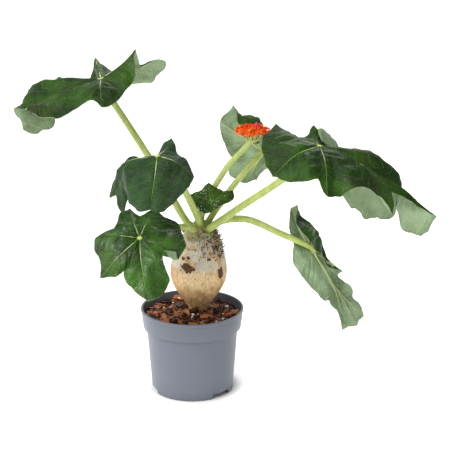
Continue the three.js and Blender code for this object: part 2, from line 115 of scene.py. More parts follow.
def turned(name: str, outline: Outline, segments: int) -> bpy.types.Object:
    """Turns an outline into a closed body by extruding a circle from ring to ring.

    Args:
        name: The piece's name.
        outline: Radius and height of each ring, in millimetres.
        segments: Points round each ring.

    Returns:
        The closed body.
    """
    deselect()
    radius, height = outline[0]
    bpy.ops.mesh.primitive_circle_add(vertices=segments, radius=radius * MM, location=(0, 0, height * MM))
    piece = named(name)
    bpy.ops.object.transform_apply(location=True, rotation=True, scale=True)
    bpy.ops.object.mode_set(mode="EDIT")
    bpy.ops.mesh.select_all(action="SELECT")
    for (before, low), (after, high) in zip(outline, outline[1:]):
        bpy.ops.mesh.extrude_region_move(TRANSFORM_OT_translate={"value": (0, 0, (high - low) * MM)})
        ratio = after / before
        bpy.ops.transform.resize(value=(ratio, ratio, 1), center_override=(0, 0, high * MM))
    bpy.ops.mesh.select_all(action="SELECT")
    bpy.ops.mesh.fill_holes(sides=0)
    bpy.ops.mesh.normals_make_consistent(inside=False)
    bpy.ops.object.mode_set(mode="OBJECT")
    shade_smooth(piece, 35)
    return piece


def cut_away(piece: bpy.types.Object, cutter: bpy.types.Object) -> None:
    """Takes a cutter's shape out of a piece and deletes the cutter.

    Args:
        piece: The piece that is cut.
        cutter: A closed body where the piece is to be open.
    """
    apply_modifier(piece, "BOOLEAN", operation="DIFFERENCE", solver="EXACT", object=cutter)
    bpy.data.objects.remove(cutter)


def apply_modifier(piece: bpy.types.Object, kind: str, **settings: object) -> None:
    """Adds one modifier to a piece and applies it.

    Args:
        piece: The piece that it changes.
        kind: The modifier's type.
        **settings: The modifier's fields.
    """
    choose(piece)
    modifier = piece.modifiers.new(kind.lower(), kind)
    for key, value in settings.items():
        setattr(modifier, key, value)
    bpy.ops.object.modifier_apply(modifier=modifier.name)


def joined(name: str, pieces: Sequence[bpy.types.Object]) -> bpy.types.Object:
    """Joins several pieces into one.

    Args:
        name: The name of the whole.
        pieces: What is joined; the first keeps its materials in front.

    Returns:
        The joined piece.
    """
    deselect()
    for piece in pieces:
        piece.select_set(True)
    bpy.context.view_layer.objects.active = pieces[0]
    bpy.ops.object.join()
    return named(name)


def copied(piece: bpy.types.Object, place: Matrix) -> bpy.types.Object:
    """Copies a piece with a mesh of its own.

    Args:
        piece: What is copied.
        place: Where the copy's mesh goes, with its turn and scale.

    Returns:
        The copy, with its object at the origin.
    """
    copy = piece.copy()
    copy.data = piece.data.copy()
    copy.data.transform(place)
    bpy.context.scene.collection.objects.link(copy)
    return copy


def tube(name: str, points: Sequence[Vector], radii: Sequence[float], sides: int) -> bpy.types.Object:
    """Draws a round tapering tube along points.

    Args:
        name: The piece's name.
        points: The centre line, in metres.
        radii: The radius at each point, in millimetres.
        sides: Bevel resolution; the tube has twice as many sides plus two.

    Returns:
        The tube as a closed mesh.
    """
    deselect()
    bpy.ops.curve.primitive_nurbs_path_add(location=(0, 0, 0))
    curve = bpy.context.object.data
    curve.splines.clear()
    spline = curve.splines.new("POLY")
    spline.points.add(len(points) - 1)
    for knot, point, radius in zip(spline.points, points, radii):
        knot.co = (*point, 1)
        knot.radius = radius
    curve.dimensions = "3D"
    curve.bevel_depth = MM
    curve.bevel_resolution = sides
    curve.use_fill_caps = True
    bpy.ops.object.convert(target="MESH")
    piece = named(name)
    shade_smooth(piece, 50)
    return piece


def hermite(start: Vector, leave: Vector, stop: Vector, arrive: Vector, t: float) -> Vector:
    """A point on the cubic curve between two points.

    Args:
        start: Where the curve starts.
        leave: Its way there.
        stop: Where the curve ends.
        arrive: Its way there.
        t: How far along the point is, from 0 to 1.

    Returns:
        The point.
    """
    return (
        start * (2 * t**3 - 3 * t**2 + 1) + leave * (t**3 - 2 * t**2 + t)
        + stop * (3 * t**2 - 2 * t**3) + arrive * (t**3 - t**2)
    )


def catmull(points: Sequence[Vector], steps: int) -> list[Vector]:
    """Samples a centripetal Catmull-Rom curve that passes through every point.

    Args:
        points: At least two points.
        steps: Samples between neighbouring points.

    Returns:
        The samples, with both ends.
    """
    way = [2 * points[0] - points[1], *points, 2 * points[-1] - points[-2]]
    samples = [points[0].copy()]
    for p0, p1, p2, p3 in zip(way, way[1:], way[2:], way[3:]):
        d0, d1, d2 = (max((b - a).length ** 0.5, 1e-4) for a, b in ((p0, p1), (p1, p2), (p2, p3)))
        m1 = ((p1 - p0) / d0 - (p2 - p0) / (d0 + d1) + (p2 - p1) / d1) * d1
        m2 = ((p2 - p1) / d1 - (p3 - p1) / (d1 + d2) + (p3 - p2) / d2) * d1
        samples += [hermite(p1, m1, p2, m2, step / steps) for step in range(1, steps + 1)]
    return samples


def smoothed(outline: Outline, steps: int) -> list[tuple[float, float]]:
    """Rounds an outline off by a smooth curve through its rings.

    Args:
        outline: Radius and height of each ring.
        steps: Rings between neighbouring ones.

    Returns:
        Radius and height of every ring, none of them quite at the axis.
    """
    way = catmull([Vector((radius, 0, height)) for radius, height in outline], steps)
    return [(max(point.x, 0.4), point.z) for point in way]


def finish_piece(
    piece: bpy.types.Object, materials: Sequence[bpy.types.Material], nodes: Sequence[str] = ()
) -> None:
    """Dresses a piece and puts it on the plant's body.

    Args:
        piece: The finished mesh.
        materials: The materials in slot order; left as they are if empty.
        nodes: The CAD nodes that it stands for.
    """
    if materials:
        piece.data.materials.clear()
        for material in materials:
            piece.data.materials.append(material)
    if nodes:
        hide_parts(*nodes)
    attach(piece, BODY)
    LOG.info("%s: %d faces", piece.name, len(piece.data.polygons))


# Finishes


class Shade:
    """A material's node tree, with short calls for the nodes that the finishes use."""

    def __init__(self, name: str) -> None:
        """Starts a material with a Principled shader.

        Args:
            name: The material's name.
        """
        self.material = bpy.data.materials.new(name)
        self.material.use_nodes = True
        self.tree = self.material.node_tree
        self.skin = self.tree.nodes["Principled BSDF"]

    def add(self, kind: str, **settings: object) -> bpy.types.Node:
        """Adds a node.

        Args:
            kind: The node's type, without the words that every shader node's type starts with.
            **settings: The node's own fields.

        Returns:
            The new node.
        """
        node = self.tree.nodes.new(f"ShaderNode{kind}")
        for key, value in settings.items():
            setattr(node, key, value)
        return node

    def feed(self, socket: Socket, value: Value) -> None:
        """Links a socket, or sets it to a plain value.

        Args:
            socket: The socket that takes the value.
            value: A socket, a number, a vector or a colour.
        """
        if isinstance(value, bpy.types.NodeSocket):
            self.tree.links.new(value, socket)
        elif isinstance(value, (tuple, list)) and len(value) == 3 and socket.type == "RGBA":
            socket.default_value = (*value, 1)
        else:
            socket.default_value = value

    def place(self, stretch: Sequence[float] = (1, 1, 1), centre: Sequence[float] = (0, 0, 0)) -> Socket:
        """Object coordinates.

        Args:
            stretch: What each axis is multiplied by.
            centre: Where they start, in metres.

        Returns:
            The coordinates from the centre.
        """
        mapping = self.add("Mapping")
        mapping.inputs["Location"].default_value = [-c * s for c, s in zip(centre, stretch)]
        mapping.inputs["Scale"].default_value = stretch
        self.feed(mapping.inputs["Vector"], self.add("TexCoord").outputs["Object"])
        return mapping.outputs["Vector"]

    def noise(self, scale: float, detail: float = 4, stretch: Sequence[float] = (1, 1, 1)) -> Socket:
        """Soft noise.

        Args:
            scale: Its waves per metre.
            detail: How many finer layers it has.
            stretch: What each axis is multiplied by first.

        Returns:
            The noise, from 0 to 1.
        """
        node = self.add("TexNoise")
        self.feed(node.inputs["Vector"], self.place(stretch))
        node.inputs["Scale"].default_value = scale
        node.inputs["Detail"].default_value = detail
        return node.outputs["Fac"]

    def cells(self, scale: float, edges: bool = True, stretch: Sequence[float] = (1, 1, 1)) -> Socket:
        """Irregular cells.

        Args:
            scale: Cells per metre.
            edges: Whether it measures to the cells' edges, and not to their centres.
            stretch: What each axis is multiplied by first.

        Returns:
            The distance to the nearest edge or centre.
        """
        node = self.add("TexVoronoi", feature="DISTANCE_TO_EDGE" if edges else "F1")
        self.feed(node.inputs["Vector"], self.place(stretch))
        node.inputs["Scale"].default_value = scale
        return node.outputs["Distance"]

    def attribute(self, name: str) -> Socket:
        """A number that the mesh carries at each point."""
        return self.add("Attribute", attribute_name=name).outputs["Fac"]

    def maths(self, operation: str, *values: Value) -> Socket:
        """Calculates with numbers or sockets.

        Args:
            operation: The Math node's operation.
            *values: Its one to three inputs.

        Returns:
            The result.
        """
        node = self.add("Math", operation=operation)
        for socket, value in zip(node.inputs, values):
            self.feed(socket, value)
        return node.outputs[0]

    def times(self, first: Value, second: Value) -> Socket:
        """The product of two values."""
        return self.maths("MULTIPLY", first, second)

    def scaled(self, value: Value, factor: Value, start: Value) -> Socket:
        """A value times a factor, added to a start."""
        return self.maths("MULTIPLY_ADD", value, factor, start)

    def band(self, value: Value, start: float, end: float) -> Socket:
        """A soft step.

        Args:
            value: What is compared.
            start: Where the step is still 0.
            end: Where it has become 1; it may be less than the start.

        Returns:
            The step, from 0 to 1.
        """
        flip = start > end
        node = self.add("MapRange", interpolation_type="SMOOTHSTEP")
        self.feed(node.inputs["Value"], value)
        node.inputs["From Min"].default_value = min(start, end)
        node.inputs["From Max"].default_value = max(start, end)
        node.inputs["To Min"].default_value = 1 if flip else 0
        node.inputs["To Max"].default_value = 0 if flip else 1
        return node.outputs["Result"]

    def blend(self, factor: Value, first: Value, second: Value) -> Socket:
        """Mixes two colours.

        Args:
            factor: How much of the second there is.
            first: Colour where the factor is 0.
            second: Colour where the factor is 1.

        Returns:
            The mixed colour.
        """
        node = self.add("Mix", data_type="RGBA")
        for index, value in ((0, factor), (6, first), (7, second)):
            self.feed(node.inputs[index], value)
        return node.outputs[2]

    def coat(self, base: Value, mask: Value, colour: Value, share: float = 1) -> Socket:
        """Lays a colour over a base.

        Args:
            base: Colour below.
            mask: Where the coat is, from 0 to 1.
            colour: Colour of the coat.
            share: How much the coat covers where the mask is 1.

        Returns:
            The coated colour.
        """
        return self.blend(mask if share == 1 else self.times(mask, share), base, colour)

    def height(self) -> Socket:
        """Height above the table, in metres."""
        split = self.add("SeparateXYZ")
        self.feed(split.inputs[0], self.place())
        return split.outputs["Z"]

    def spot(self, centre: Place, size: Place, soft: float = 0.25, ragged: float = 0.9) -> Socket:
        """An oval patch.

        Args:
            centre: Its middle, in millimetres.
            size: Its half size along each axis, in millimetres.
            soft: Half the width of its edge, as a part of its size.
            ragged: How far its edge wanders, as a part of its size.

        Returns:
            1 inside and 0 outside.
        """
        node = self.add("VectorMath", operation="LENGTH")
        stretch = [1 / (s * MM) for s in size]
        self.feed(node.inputs[0], self.place(stretch, [c * MM for c in centre]))
        wobble = self.scaled(self.noise(260), ragged, -0.5 * ragged)
        return self.band(self.maths("ADD", node.outputs["Value"], wobble), 1 + soft, 1 - soft)

    def finish(
        self, colour: Value, roughness: Value, bump: Optional[Value] = None, relief: float = 0.3,
        **fixed: Value,
    ) -> bpy.types.Material:
        """Connects the shader.

        Args:
            colour: Base colour.
            roughness: Roughness, a number or a socket.
            bump: Height for fine relief, or None.
            relief: Depth of the relief, in millimetres.
            **fixed: Further sockets of the shader, set to plain values.

        Returns:
            The material.
        """
        self.feed(self.skin.inputs["Base Color"], colour)
        self.feed(self.skin.inputs["Roughness"], roughness)
        if bump is not None:
            node = self.add("Bump")
            node.inputs["Distance"].default_value = relief * MM
            node.inputs["Strength"].default_value = 1
            self.feed(node.inputs["Height"], bump)
            self.feed(self.skin.inputs["Normal"], node.outputs["Normal"])
        for key, value in fixed.items():
            self.feed(self.skin.inputs[key.replace("_", " ")], value)
        return self.material


@dataclass(frozen=True)
class LeafTop:
    """The dark glossy upper face of a leaf, with paler veins, a yellow spot over the stalk and, where
    sparkle is set, painted glints.
    """

    name: str = "leaf_top"
    deep: Colour = (0.005, 0.022, 0.002)
    bright: Colour = (0.024, 0.076, 0.005)
    bronze: Colour = (0.034, 0.03, 0.01)
    vein: Colour = (0.2, 0.31, 0.05)
    hub: Colour = (0.6, 0.66, 0.16)
    rim: Colour = (0.07, 0.06, 0.02)
    glint: Colour = (0.85, 0.9, 0.8)
    main_share: float = 0.7
    side_share: float = 0.12
    net_share: float = 0.06
    bronze_share: float = 0.5
    rim_share: float = 0.25
    roughness: float = 0.27
    uneven: float = 0.2
    vein_step: float = VEIN_STEP
    specular: float = 0.13
    sparkle: float = 0
    relief: float = 0.5

    def material(self) -> bpy.types.Material:
        """Builds the upper face's material."""
        shade = Shade(self.name)
        main, side, net = leaf_veins(shade, self.vein_step)
        base = shade.blend(shade.band(shade.noise(28), 0.35, 0.68), self.deep, self.bright)
        base = shade.coat(base, net, self.vein, self.net_share)
        base = shade.coat(base, shade.band(shade.noise(17), 0.52, 0.78), self.bronze, self.bronze_share)
        base = shade.coat(base, side, self.vein, self.side_share)
        base = shade.coat(base, main, self.vein, self.main_share)
        base = shade.coat(base, shade.band(shade.attribute("from_hub"), 3.6, 2.0), self.hub)
        base = shade.coat(base, shade.band(shade.attribute("edge"), 0.975, 0.995), self.rim, self.rim_share)
        # Painted highlight: white specks laid on the face where light glints off it.
        if self.sparkle:
            painted_highlight_specks = shade.times(shade.band(shade.cells(520, False), 0.3, 0.16), self.sparkle)
            painted_highlight_specks = shade.times(painted_highlight_specks, shade.band(shade.noise(75), 0.5, 0.58))
            base = shade.coat(base, painted_highlight_specks, self.glint)
        relief = shade.scaled(side, -0.8, shade.times(net, -0.35))
        relief = shade.scaled(shade.noise(140, 2), 0.2, relief)
        rough = shade.scaled(shade.noise(60), self.uneven, self.roughness - self.uneven / 2)
        return shade.finish(base, rough, relief, self.relief, Specular_IOR_Level=self.specular)


@dataclass(frozen=True)
class LeafUnderside:
    """The pale grey-green lower face of a leaf."""

    name: str = "leaf_underside"
    deep: Colour = (0.115, 0.185, 0.09)
    bright: Colour = (0.285, 0.385, 0.23)
    vein: Colour = (0.44, 0.53, 0.27)
    rim: Colour = (0.12, 0.14, 0.06)
    main_share: float = 0.8
    side_share: float = 0.55
    net_share: float = 0.22
    rim_share: float = 0.4
    roughness: float = 0.62
    specular: float = 0.3
    relief: float = 0.5

    def material(self) -> bpy.types.Material:
        """Builds the lower face's material."""
        shade = Shade(self.name)
        main, side, net = leaf_veins(shade, VEIN_STEP)
        base = shade.blend(shade.band(shade.noise(34), 0.3, 0.7), self.deep, self.bright)
        base = shade.coat(base, net, self.vein, self.net_share)
        base = shade.coat(base, side, self.vein, self.side_share)
        base = shade.coat(base, main, self.vein, self.main_share)
        base = shade.coat(base, shade.band(shade.attribute("edge"), 0.98, 0.997), self.rim, self.rim_share)
        relief = shade.scaled(side, 0.9, shade.times(net, 0.4))
        return shade.finish(base, self.roughness, relief, self.relief, Specular_IOR_Level=self.specular)


def leaf_veins(shade: Shade, step: float) -> tuple[Socket, Socket, Socket]:
    """Draws a leaf's veins from the distances that its mesh carries.

    Args:
        shade: The material's node tree.
        step: Distance between side veins, in millimetres.

    Returns:
        Masks of the main veins, the side veins and the fine net between them.
    """
    across = shade.attribute("from_vein")
    width = shade.scaled(shade.attribute("edge"), -0.75, 1.0)
    main = shade.band(shade.maths("DIVIDE", across, width), 0.85, 0.4)
    bent = shade.scaled(shade.noise(45), 9.0, shade.attribute("from_hub"))
    phase = shade.maths("DIVIDE", shade.scaled(across, -VEIN_SLANT, bent), step)
    wave = shade.maths("ABSOLUTE", shade.maths("SUBTRACT", shade.maths("FRACT", phase), 0.5))
    return main, shade.band(wave, 0.075, 0.015), shade.band(shade.cells(260), 0.12, 0.02)


@dataclass(frozen=True)
class Sap:
    """A soft living skin for stalks and veins, streaked along the height."""

    name: str
    deep: Colour
    bright: Colour
    speck: Colour = (0.5, 0.45, 0.26)
    speck_share: float = 0.35
    roughness: float = 0.42
    relief: float = 0.35

    def material(self) -> bpy.types.Material:
        """Builds the stalk's material."""
        shade = Shade(self.name)
        streaks = shade.noise(120, 5, (1, 1, 0.22))
        base = shade.blend(shade.band(streaks, 0.3, 0.7), self.deep, self.bright)
        specks = shade.band(shade.cells(420, edges=False), 0.16, 0.08)
        base = shade.coat(base, specks, self.speck, self.speck_share)
        glow = {"Subsurface_Weight": 0.08, "Subsurface_Scale": 0.003}
        return shade.finish(base, self.roughness, streaks, self.relief, **glow)


@dataclass(frozen=True)
class StemBark:
    """The caudex's skin: grey-white bloom above, tan and wrinkled below, with old scars."""

    name: str = "stem_bark"
    tan: Colour = (0.48, 0.29, 0.115)
    ochre: Colour = (0.74, 0.5, 0.25)
    rust: Colour = (0.42, 0.2, 0.06)
    front_light_paint: Colour = (0.85, 0.67, 0.42)
    bloom: Colour = (0.56, 0.56, 0.5)
    crown: Colour = (0.3, 0.34, 0.1)
    scar: Colour = (0.06, 0.02, 0.009)
    bristle: Colour = (0.05, 0.03, 0.014)
    moss: Colour = (0.2, 0.17, 0.05)
    scars: Sequence[tuple[Place, Place]] = (
        ((-6, -19, 166), (9.5, 9, 5)), ((36, -10, 157), (4.4, 6, 7)), ((-11, -15, 177), (2.6, 5, 3.2)),
        ((-4, -15, 178), (2.2, 5, 2)), ((14, -20, 187), (2.6, 5, 1.8)), ((22, -16, 176), (2.4, 5, 1.6)),
    )
    roughness: float = 0.75
    specular: float = 0.22
    relief: float = 0.8

    def material(self) -> bpy.types.Material:
        """Builds the bark's material."""
        shade = Shade(self.name)
        height = shade.height()
        lines = shade.noise(130, 7, (1, 1, 0.45))
        mottle = shade.noise(70, 6)
        base = shade.blend(shade.band(lines, 0.3, 0.62), self.tan, self.ochre)
        base = shade.coat(base, shade.band(shade.noise(42, 6, (1, 1, 0.7)), 0.48, 0.7), self.rust, 0.7)
        # Painted light: a paler patch on the front of the swollen middle, where the light falls on the
        # bulge.
        base = shade.coat(base, shade.spot((6, -22, 152), (26, 22, 13), 0.5), self.front_light_paint, 0.5)
        net = shade.band(shade.cells(230, True, (1, 1, 0.6)), 0.1, 0.0)
        base = shade.coat(base, net, self.rust, 0.35)
        wander = shade.scaled(mottle, 0.05, shade.maths("SUBTRACT", height, 0.025))
        powder = shade.times(shade.band(wander, 0.148, 0.182), shade.band(mottle, 0.2, 0.62))
        base = shade.coat(base, powder, self.bloom, 0.85)
        base = shade.coat(base, shade.band(wander, 0.196, 0.214), self.crown)
        cracks = shade.band(shade.cells(95, True, (1, 1, 0.22)), 0.09, 0.0)
        low = shade.times(cracks, shade.band(height, 0.15, 0.112))
        base = shade.coat(base, low, self.scar, 0.3)
        base = shade.coat(base, shade.band(shade.noise(330, 3), 0.62, 0.7), self.scar, 0.5)
        base = shade.coat(base, self.scarred(shade), self.scar, 0.94)
        stubble = shade.band(shade.noise(210), 0.54, 0.62)
        stubble = shade.times(shade.spot((28, -12, 194), (17, 20, 15), 0.4), stubble)
        base = shade.coat(base, stubble, self.bristle, 0.8)
        base = shade.coat(base, shade.spot((1, -8, 203), (13, 12, 7), 0.4), self.moss, 0.6)
        relief = shade.scaled(net, -0.5, shade.scaled(low, -1.0, lines))
        relief = shade.scaled(shade.noise(400), 0.25, relief)
        return shade.finish(base, self.roughness, relief, self.relief, Specular_IOR_Level=self.specular)

    def scarred(self, shade: Shade) -> Socket:
        """Masks all the leaf scars, with ragged edges.

        Args:
            shade: The material's node tree.

        Returns:
            The mask.
        """
        marks: Value = 0.0
        for centre, size in self.scars:
            marks = shade.maths("MAXIMUM", marks, shade.spot(centre, size, 0.1, 2.2))
        return marks


@dataclass(frozen=True)
class PotPlastic:
    """Thin blue-grey nursery plastic with faint scuffs, and dust at the foot."""

    name: str = "pot_plastic"
    grey: Colour = (0.113, 0.122, 0.154)
    pale: Colour = (0.15, 0.162, 0.197)
    dust: Colour = (0.3, 0.26, 0.21)
    scuff_share: float = 0.3
    dust_share: float = 0.3
    dust_height: float = 0.02
    roughness: float = 0.3
    uneven: float = 0.16
    specular: float = 0.36
    relief: float = 0.06

    def material(self) -> bpy.types.Material:
        """Builds the plastic's material."""
        shade = Shade(self.name)
        base = shade.blend(shade.noise(14, 6), self.grey, self.pale)
        scuffs = shade.band(shade.noise(260, 8, (1, 1, 0.35)), 0.63, 0.72)
        base = shade.coat(base, scuffs, self.pale, self.scuff_share)
        foot = shade.band(shade.height(), self.dust_height, 0.0)
        dirt = shade.times(shade.band(shade.noise(120, 6), 0.5, 0.72), foot)
        base = shade.coat(base, dirt, self.dust, self.dust_share)
        rough = shade.scaled(shade.noise(90), self.uneven, self.roughness)
        return shade.finish(base, rough, shade.noise(900, 3), self.relief, Specular_IOR_Level=self.specular)


@dataclass(frozen=True)
class Crumb:
    """A rough crumbly finish for bark, peat, perlite and dry stipules."""

    name: str
    dark: Colour
    light: Colour
    scale: float = 130
    grain: Sequence[float] = (1, 1, 1)
    roughness: float = 0.88
    varied: float = 0
    specular: float = 0.25
    relief: float = 0.5

    def material(self) -> bpy.types.Material:
        """Builds the crumb's material."""
        shade = Shade(self.name)
        fleck = shade.noise(self.scale, 6, self.grain)
        if self.varied:
            lean = shade.scaled(shade.attribute("tone"), self.varied, -0.5 * self.varied)
            fleck = shade.maths("ADD", fleck, lean)
        base = shade.blend(shade.band(fleck, 0.35, 0.66), self.dark, self.light)
        grit = shade.noise(self.scale * 4, 5)
        return shade.finish(base, self.roughness, grit, self.relief, Specular_IOR_Level=self.specular)


@dataclass(frozen=True)
class Petal:
    """Flower tissue in two shades, with a little light passing through it."""

    name: str
    deep: Colour
    bright: Colour
    roughness: float = 0.5
    specular: float = 0.15
    relief: float = 0.1

    def material(self) -> bpy.types.Material:
        """Builds the petal's material."""
        shade = Shade(self.name)
        base = shade.blend(shade.band(shade.noise(220), 0.3, 0.7), self.deep, self.bright)
        glow = {"Subsurface_Weight": 0.12, "Subsurface_Scale": 0.002, "Specular_IOR_Level": self.specular}
        return shade.finish(base, self.roughness, shade.noise(900), self.relief, **glow)


# Pot and soil


@dataclass
class NurseryPot:
    """The turned plastic pot, with its collar, foot ring, notches and drain holes."""

    height: float = 108
    rim_radius: float = 65
    collar_radius: float = 62
    collar_height: float = 83
    shoulder_radius: float = 57.8
    foot_radius: float = 51.5
    foot_width: float = 4
    wall: float = 1.5
    floor: float = 2.2
    recess: float = 6.5
    disc_radius: float = 28
    notches: int = 3
    first_notch: float = -44
    notch_size: Place = (24, 28, 12)
    notch_round: float = 1.8
    drains: int = 6
    drain_ring: float = 37.5
    drain_radius: float = 3.4
    drain_depth: float = 20
    segments: int = 144

    def body_radius(self, height: float) -> float:
        """Outer radius of the body at a height below the collar."""
        return self.foot_radius + (self.shoulder_radius - self.foot_radius) * height / self.collar_height

    def outline(self) -> Outline:
        """The wall's closed outline, from under the floor round the rim to the inside."""
        top, rim, collar, step = self.height, self.rim_radius, self.collar_radius, self.collar_height
        floor = self.recess + self.floor
        foot = self.foot_radius - self.foot_width
        inside = rim - self.wall
        under = [
            (0.5, 0), (self.disc_radius, 0), (self.disc_radius + 2, self.recess), (foot, self.recess),
            (foot + 1.3, 0.3), (foot + 1.6, 0), (self.foot_radius - 0.8, 0),
        ]
        body = [
            (self.body_radius(0.4) - 0.2, 0.3), (self.body_radius(1), 1), (self.body_radius(40), 40),
            (self.body_radius(step - 3), step - 3), (self.body_radius(step - 1), step - 1),
            (self.shoulder_radius + 0.6, step - 0.2), (collar - 0.8, step), (collar - 0.2, step + 0.3),
            (collar, step + 0.9), (collar + 1.6, step + 14),
        ]
        lip = [
            (rim - 1.5, top - 4.6), (rim - 1.1, top - 4.1), (rim - 0.3, top - 3.6), (rim, top - 3),
            (rim, top - 0.8), (rim - 0.25, top - 0.2), (rim - 0.8, top), (inside - 0.6, top),
            (inside - 1.1, top - 0.3), (inside - 1.4, top - 1.4),
        ]
        hollow = [
            (collar - self.wall, step + 3), (self.shoulder_radius - self.wall, step - 2),
            (self.body_radius(floor + 2) - self.wall, floor + 2),
            (self.body_radius(floor) - self.wall - 2, floor), (self.disc_radius, floor),
            (self.disc_radius - 2, self.floor), (0.5, self.floor),
        ]
        return under + body + lip + hollow

    def notch(self, angle: float) -> bpy.types.Object:
        """A rounded block where the foot ring is open.

        Args:
            angle: Its direction from the axis, in radians.

        Returns:
            The block.
        """
        deselect()
        out = (self.foot_radius + 3) * MM
        place = (out * math.cos(angle), out * math.sin(angle), 0)
        bpy.ops.mesh.primitive_cube_add(size=1, location=place, rotation=(0, 0, angle))
        block = bpy.context.object
        block.scale = [side * MM for side in self.notch_size]
        bpy.ops.object.transform_apply(location=True, rotation=True, scale=True)
        apply_modifier(block, "BEVEL", width=self.notch_round * MM, segments=4)
        return block

    def drain(self, angle: float) -> bpy.types.Object:
        """A round peg where a hole goes through the floor.

        Args:
            angle: Its direction from the axis, in radians.

        Returns:
            The peg.
        """
        deselect()
        out = self.drain_ring * MM
        radius, depth = self.drain_radius * MM, self.drain_depth * MM
        place = (out * math.cos(angle), out * math.sin(angle), depth / 4)
        bpy.ops.mesh.primitive_cylinder_add(vertices=24, radius=radius, depth=depth, location=place)
        return bpy.context.object

    def build(self) -> None:
        """Turns the pot, cuts its notches and drain holes, and dresses it."""
        pot = turned("nursery_pot", self.outline(), self.segments)
        for index in range(self.notches):
            cut_away(pot, self.notch(math.radians(self.first_notch + index * 360 / self.notches)))
        for index in range(self.drains):
            cut_away(pot, self.drain((index + 0.5) * math.tau / self.drains))
        shade_smooth(pot, 35)
        finish_piece(pot, [PotPlastic().material()], ["pot"])


@dataclass(frozen=True)
class Litter:
    """One kind of loose lump in the soil: its shapes, how many there are, how large and how deep."""

    name: str
    finish: Crumb
    shapes: Sequence[Place]
    seed: float
    cuts: int
    count: int
    smallest: float
    largest: float
    sink: float


PEAT = Crumb("peat", (0.008, 0.003, 0.002), (0.045, 0.018, 0.008), 240)
CHIPS = Litter(
    "bark_chips",
    Crumb("bark_chip", (0.026, 0.007, 0.003), (0.36, 0.12, 0.042), 110, (1, 0.4, 1), 0.42, 0.5, 0.3),
    ((4.6, 2.5, 1.5), (5.4, 2.0, 1.3), (3.4, 2.8, 1.6)),
    seed=3, cuts=2, count=430, smallest=0.5, largest=2.6, sink=1,
)
FINES = Litter(
    "bark_fines",
    Crumb("bark_fines", (0.018, 0.005, 0.003), (0.18, 0.07, 0.03), 200, (1, 1, 1), 0.4, 0.5, 0.5),
    ((1.9, 1.3, 1.1), (1.9, 1.3, 1.1)),
    seed=9, cuts=1, count=420, smallest=0.6, largest=1.4, sink=0.3,
)
PERLITE = Litter(
    "perlite",
    Crumb("perlite", (0.62, 0.6, 0.56), (0.92, 0.91, 0.88), 160),
    ((2.5, 2.2, 2.0), (2.5, 2.2, 2.0)),
    seed=14, cuts=2, count=46, smallest=0.45, largest=1.3, sink=-0.4,
)


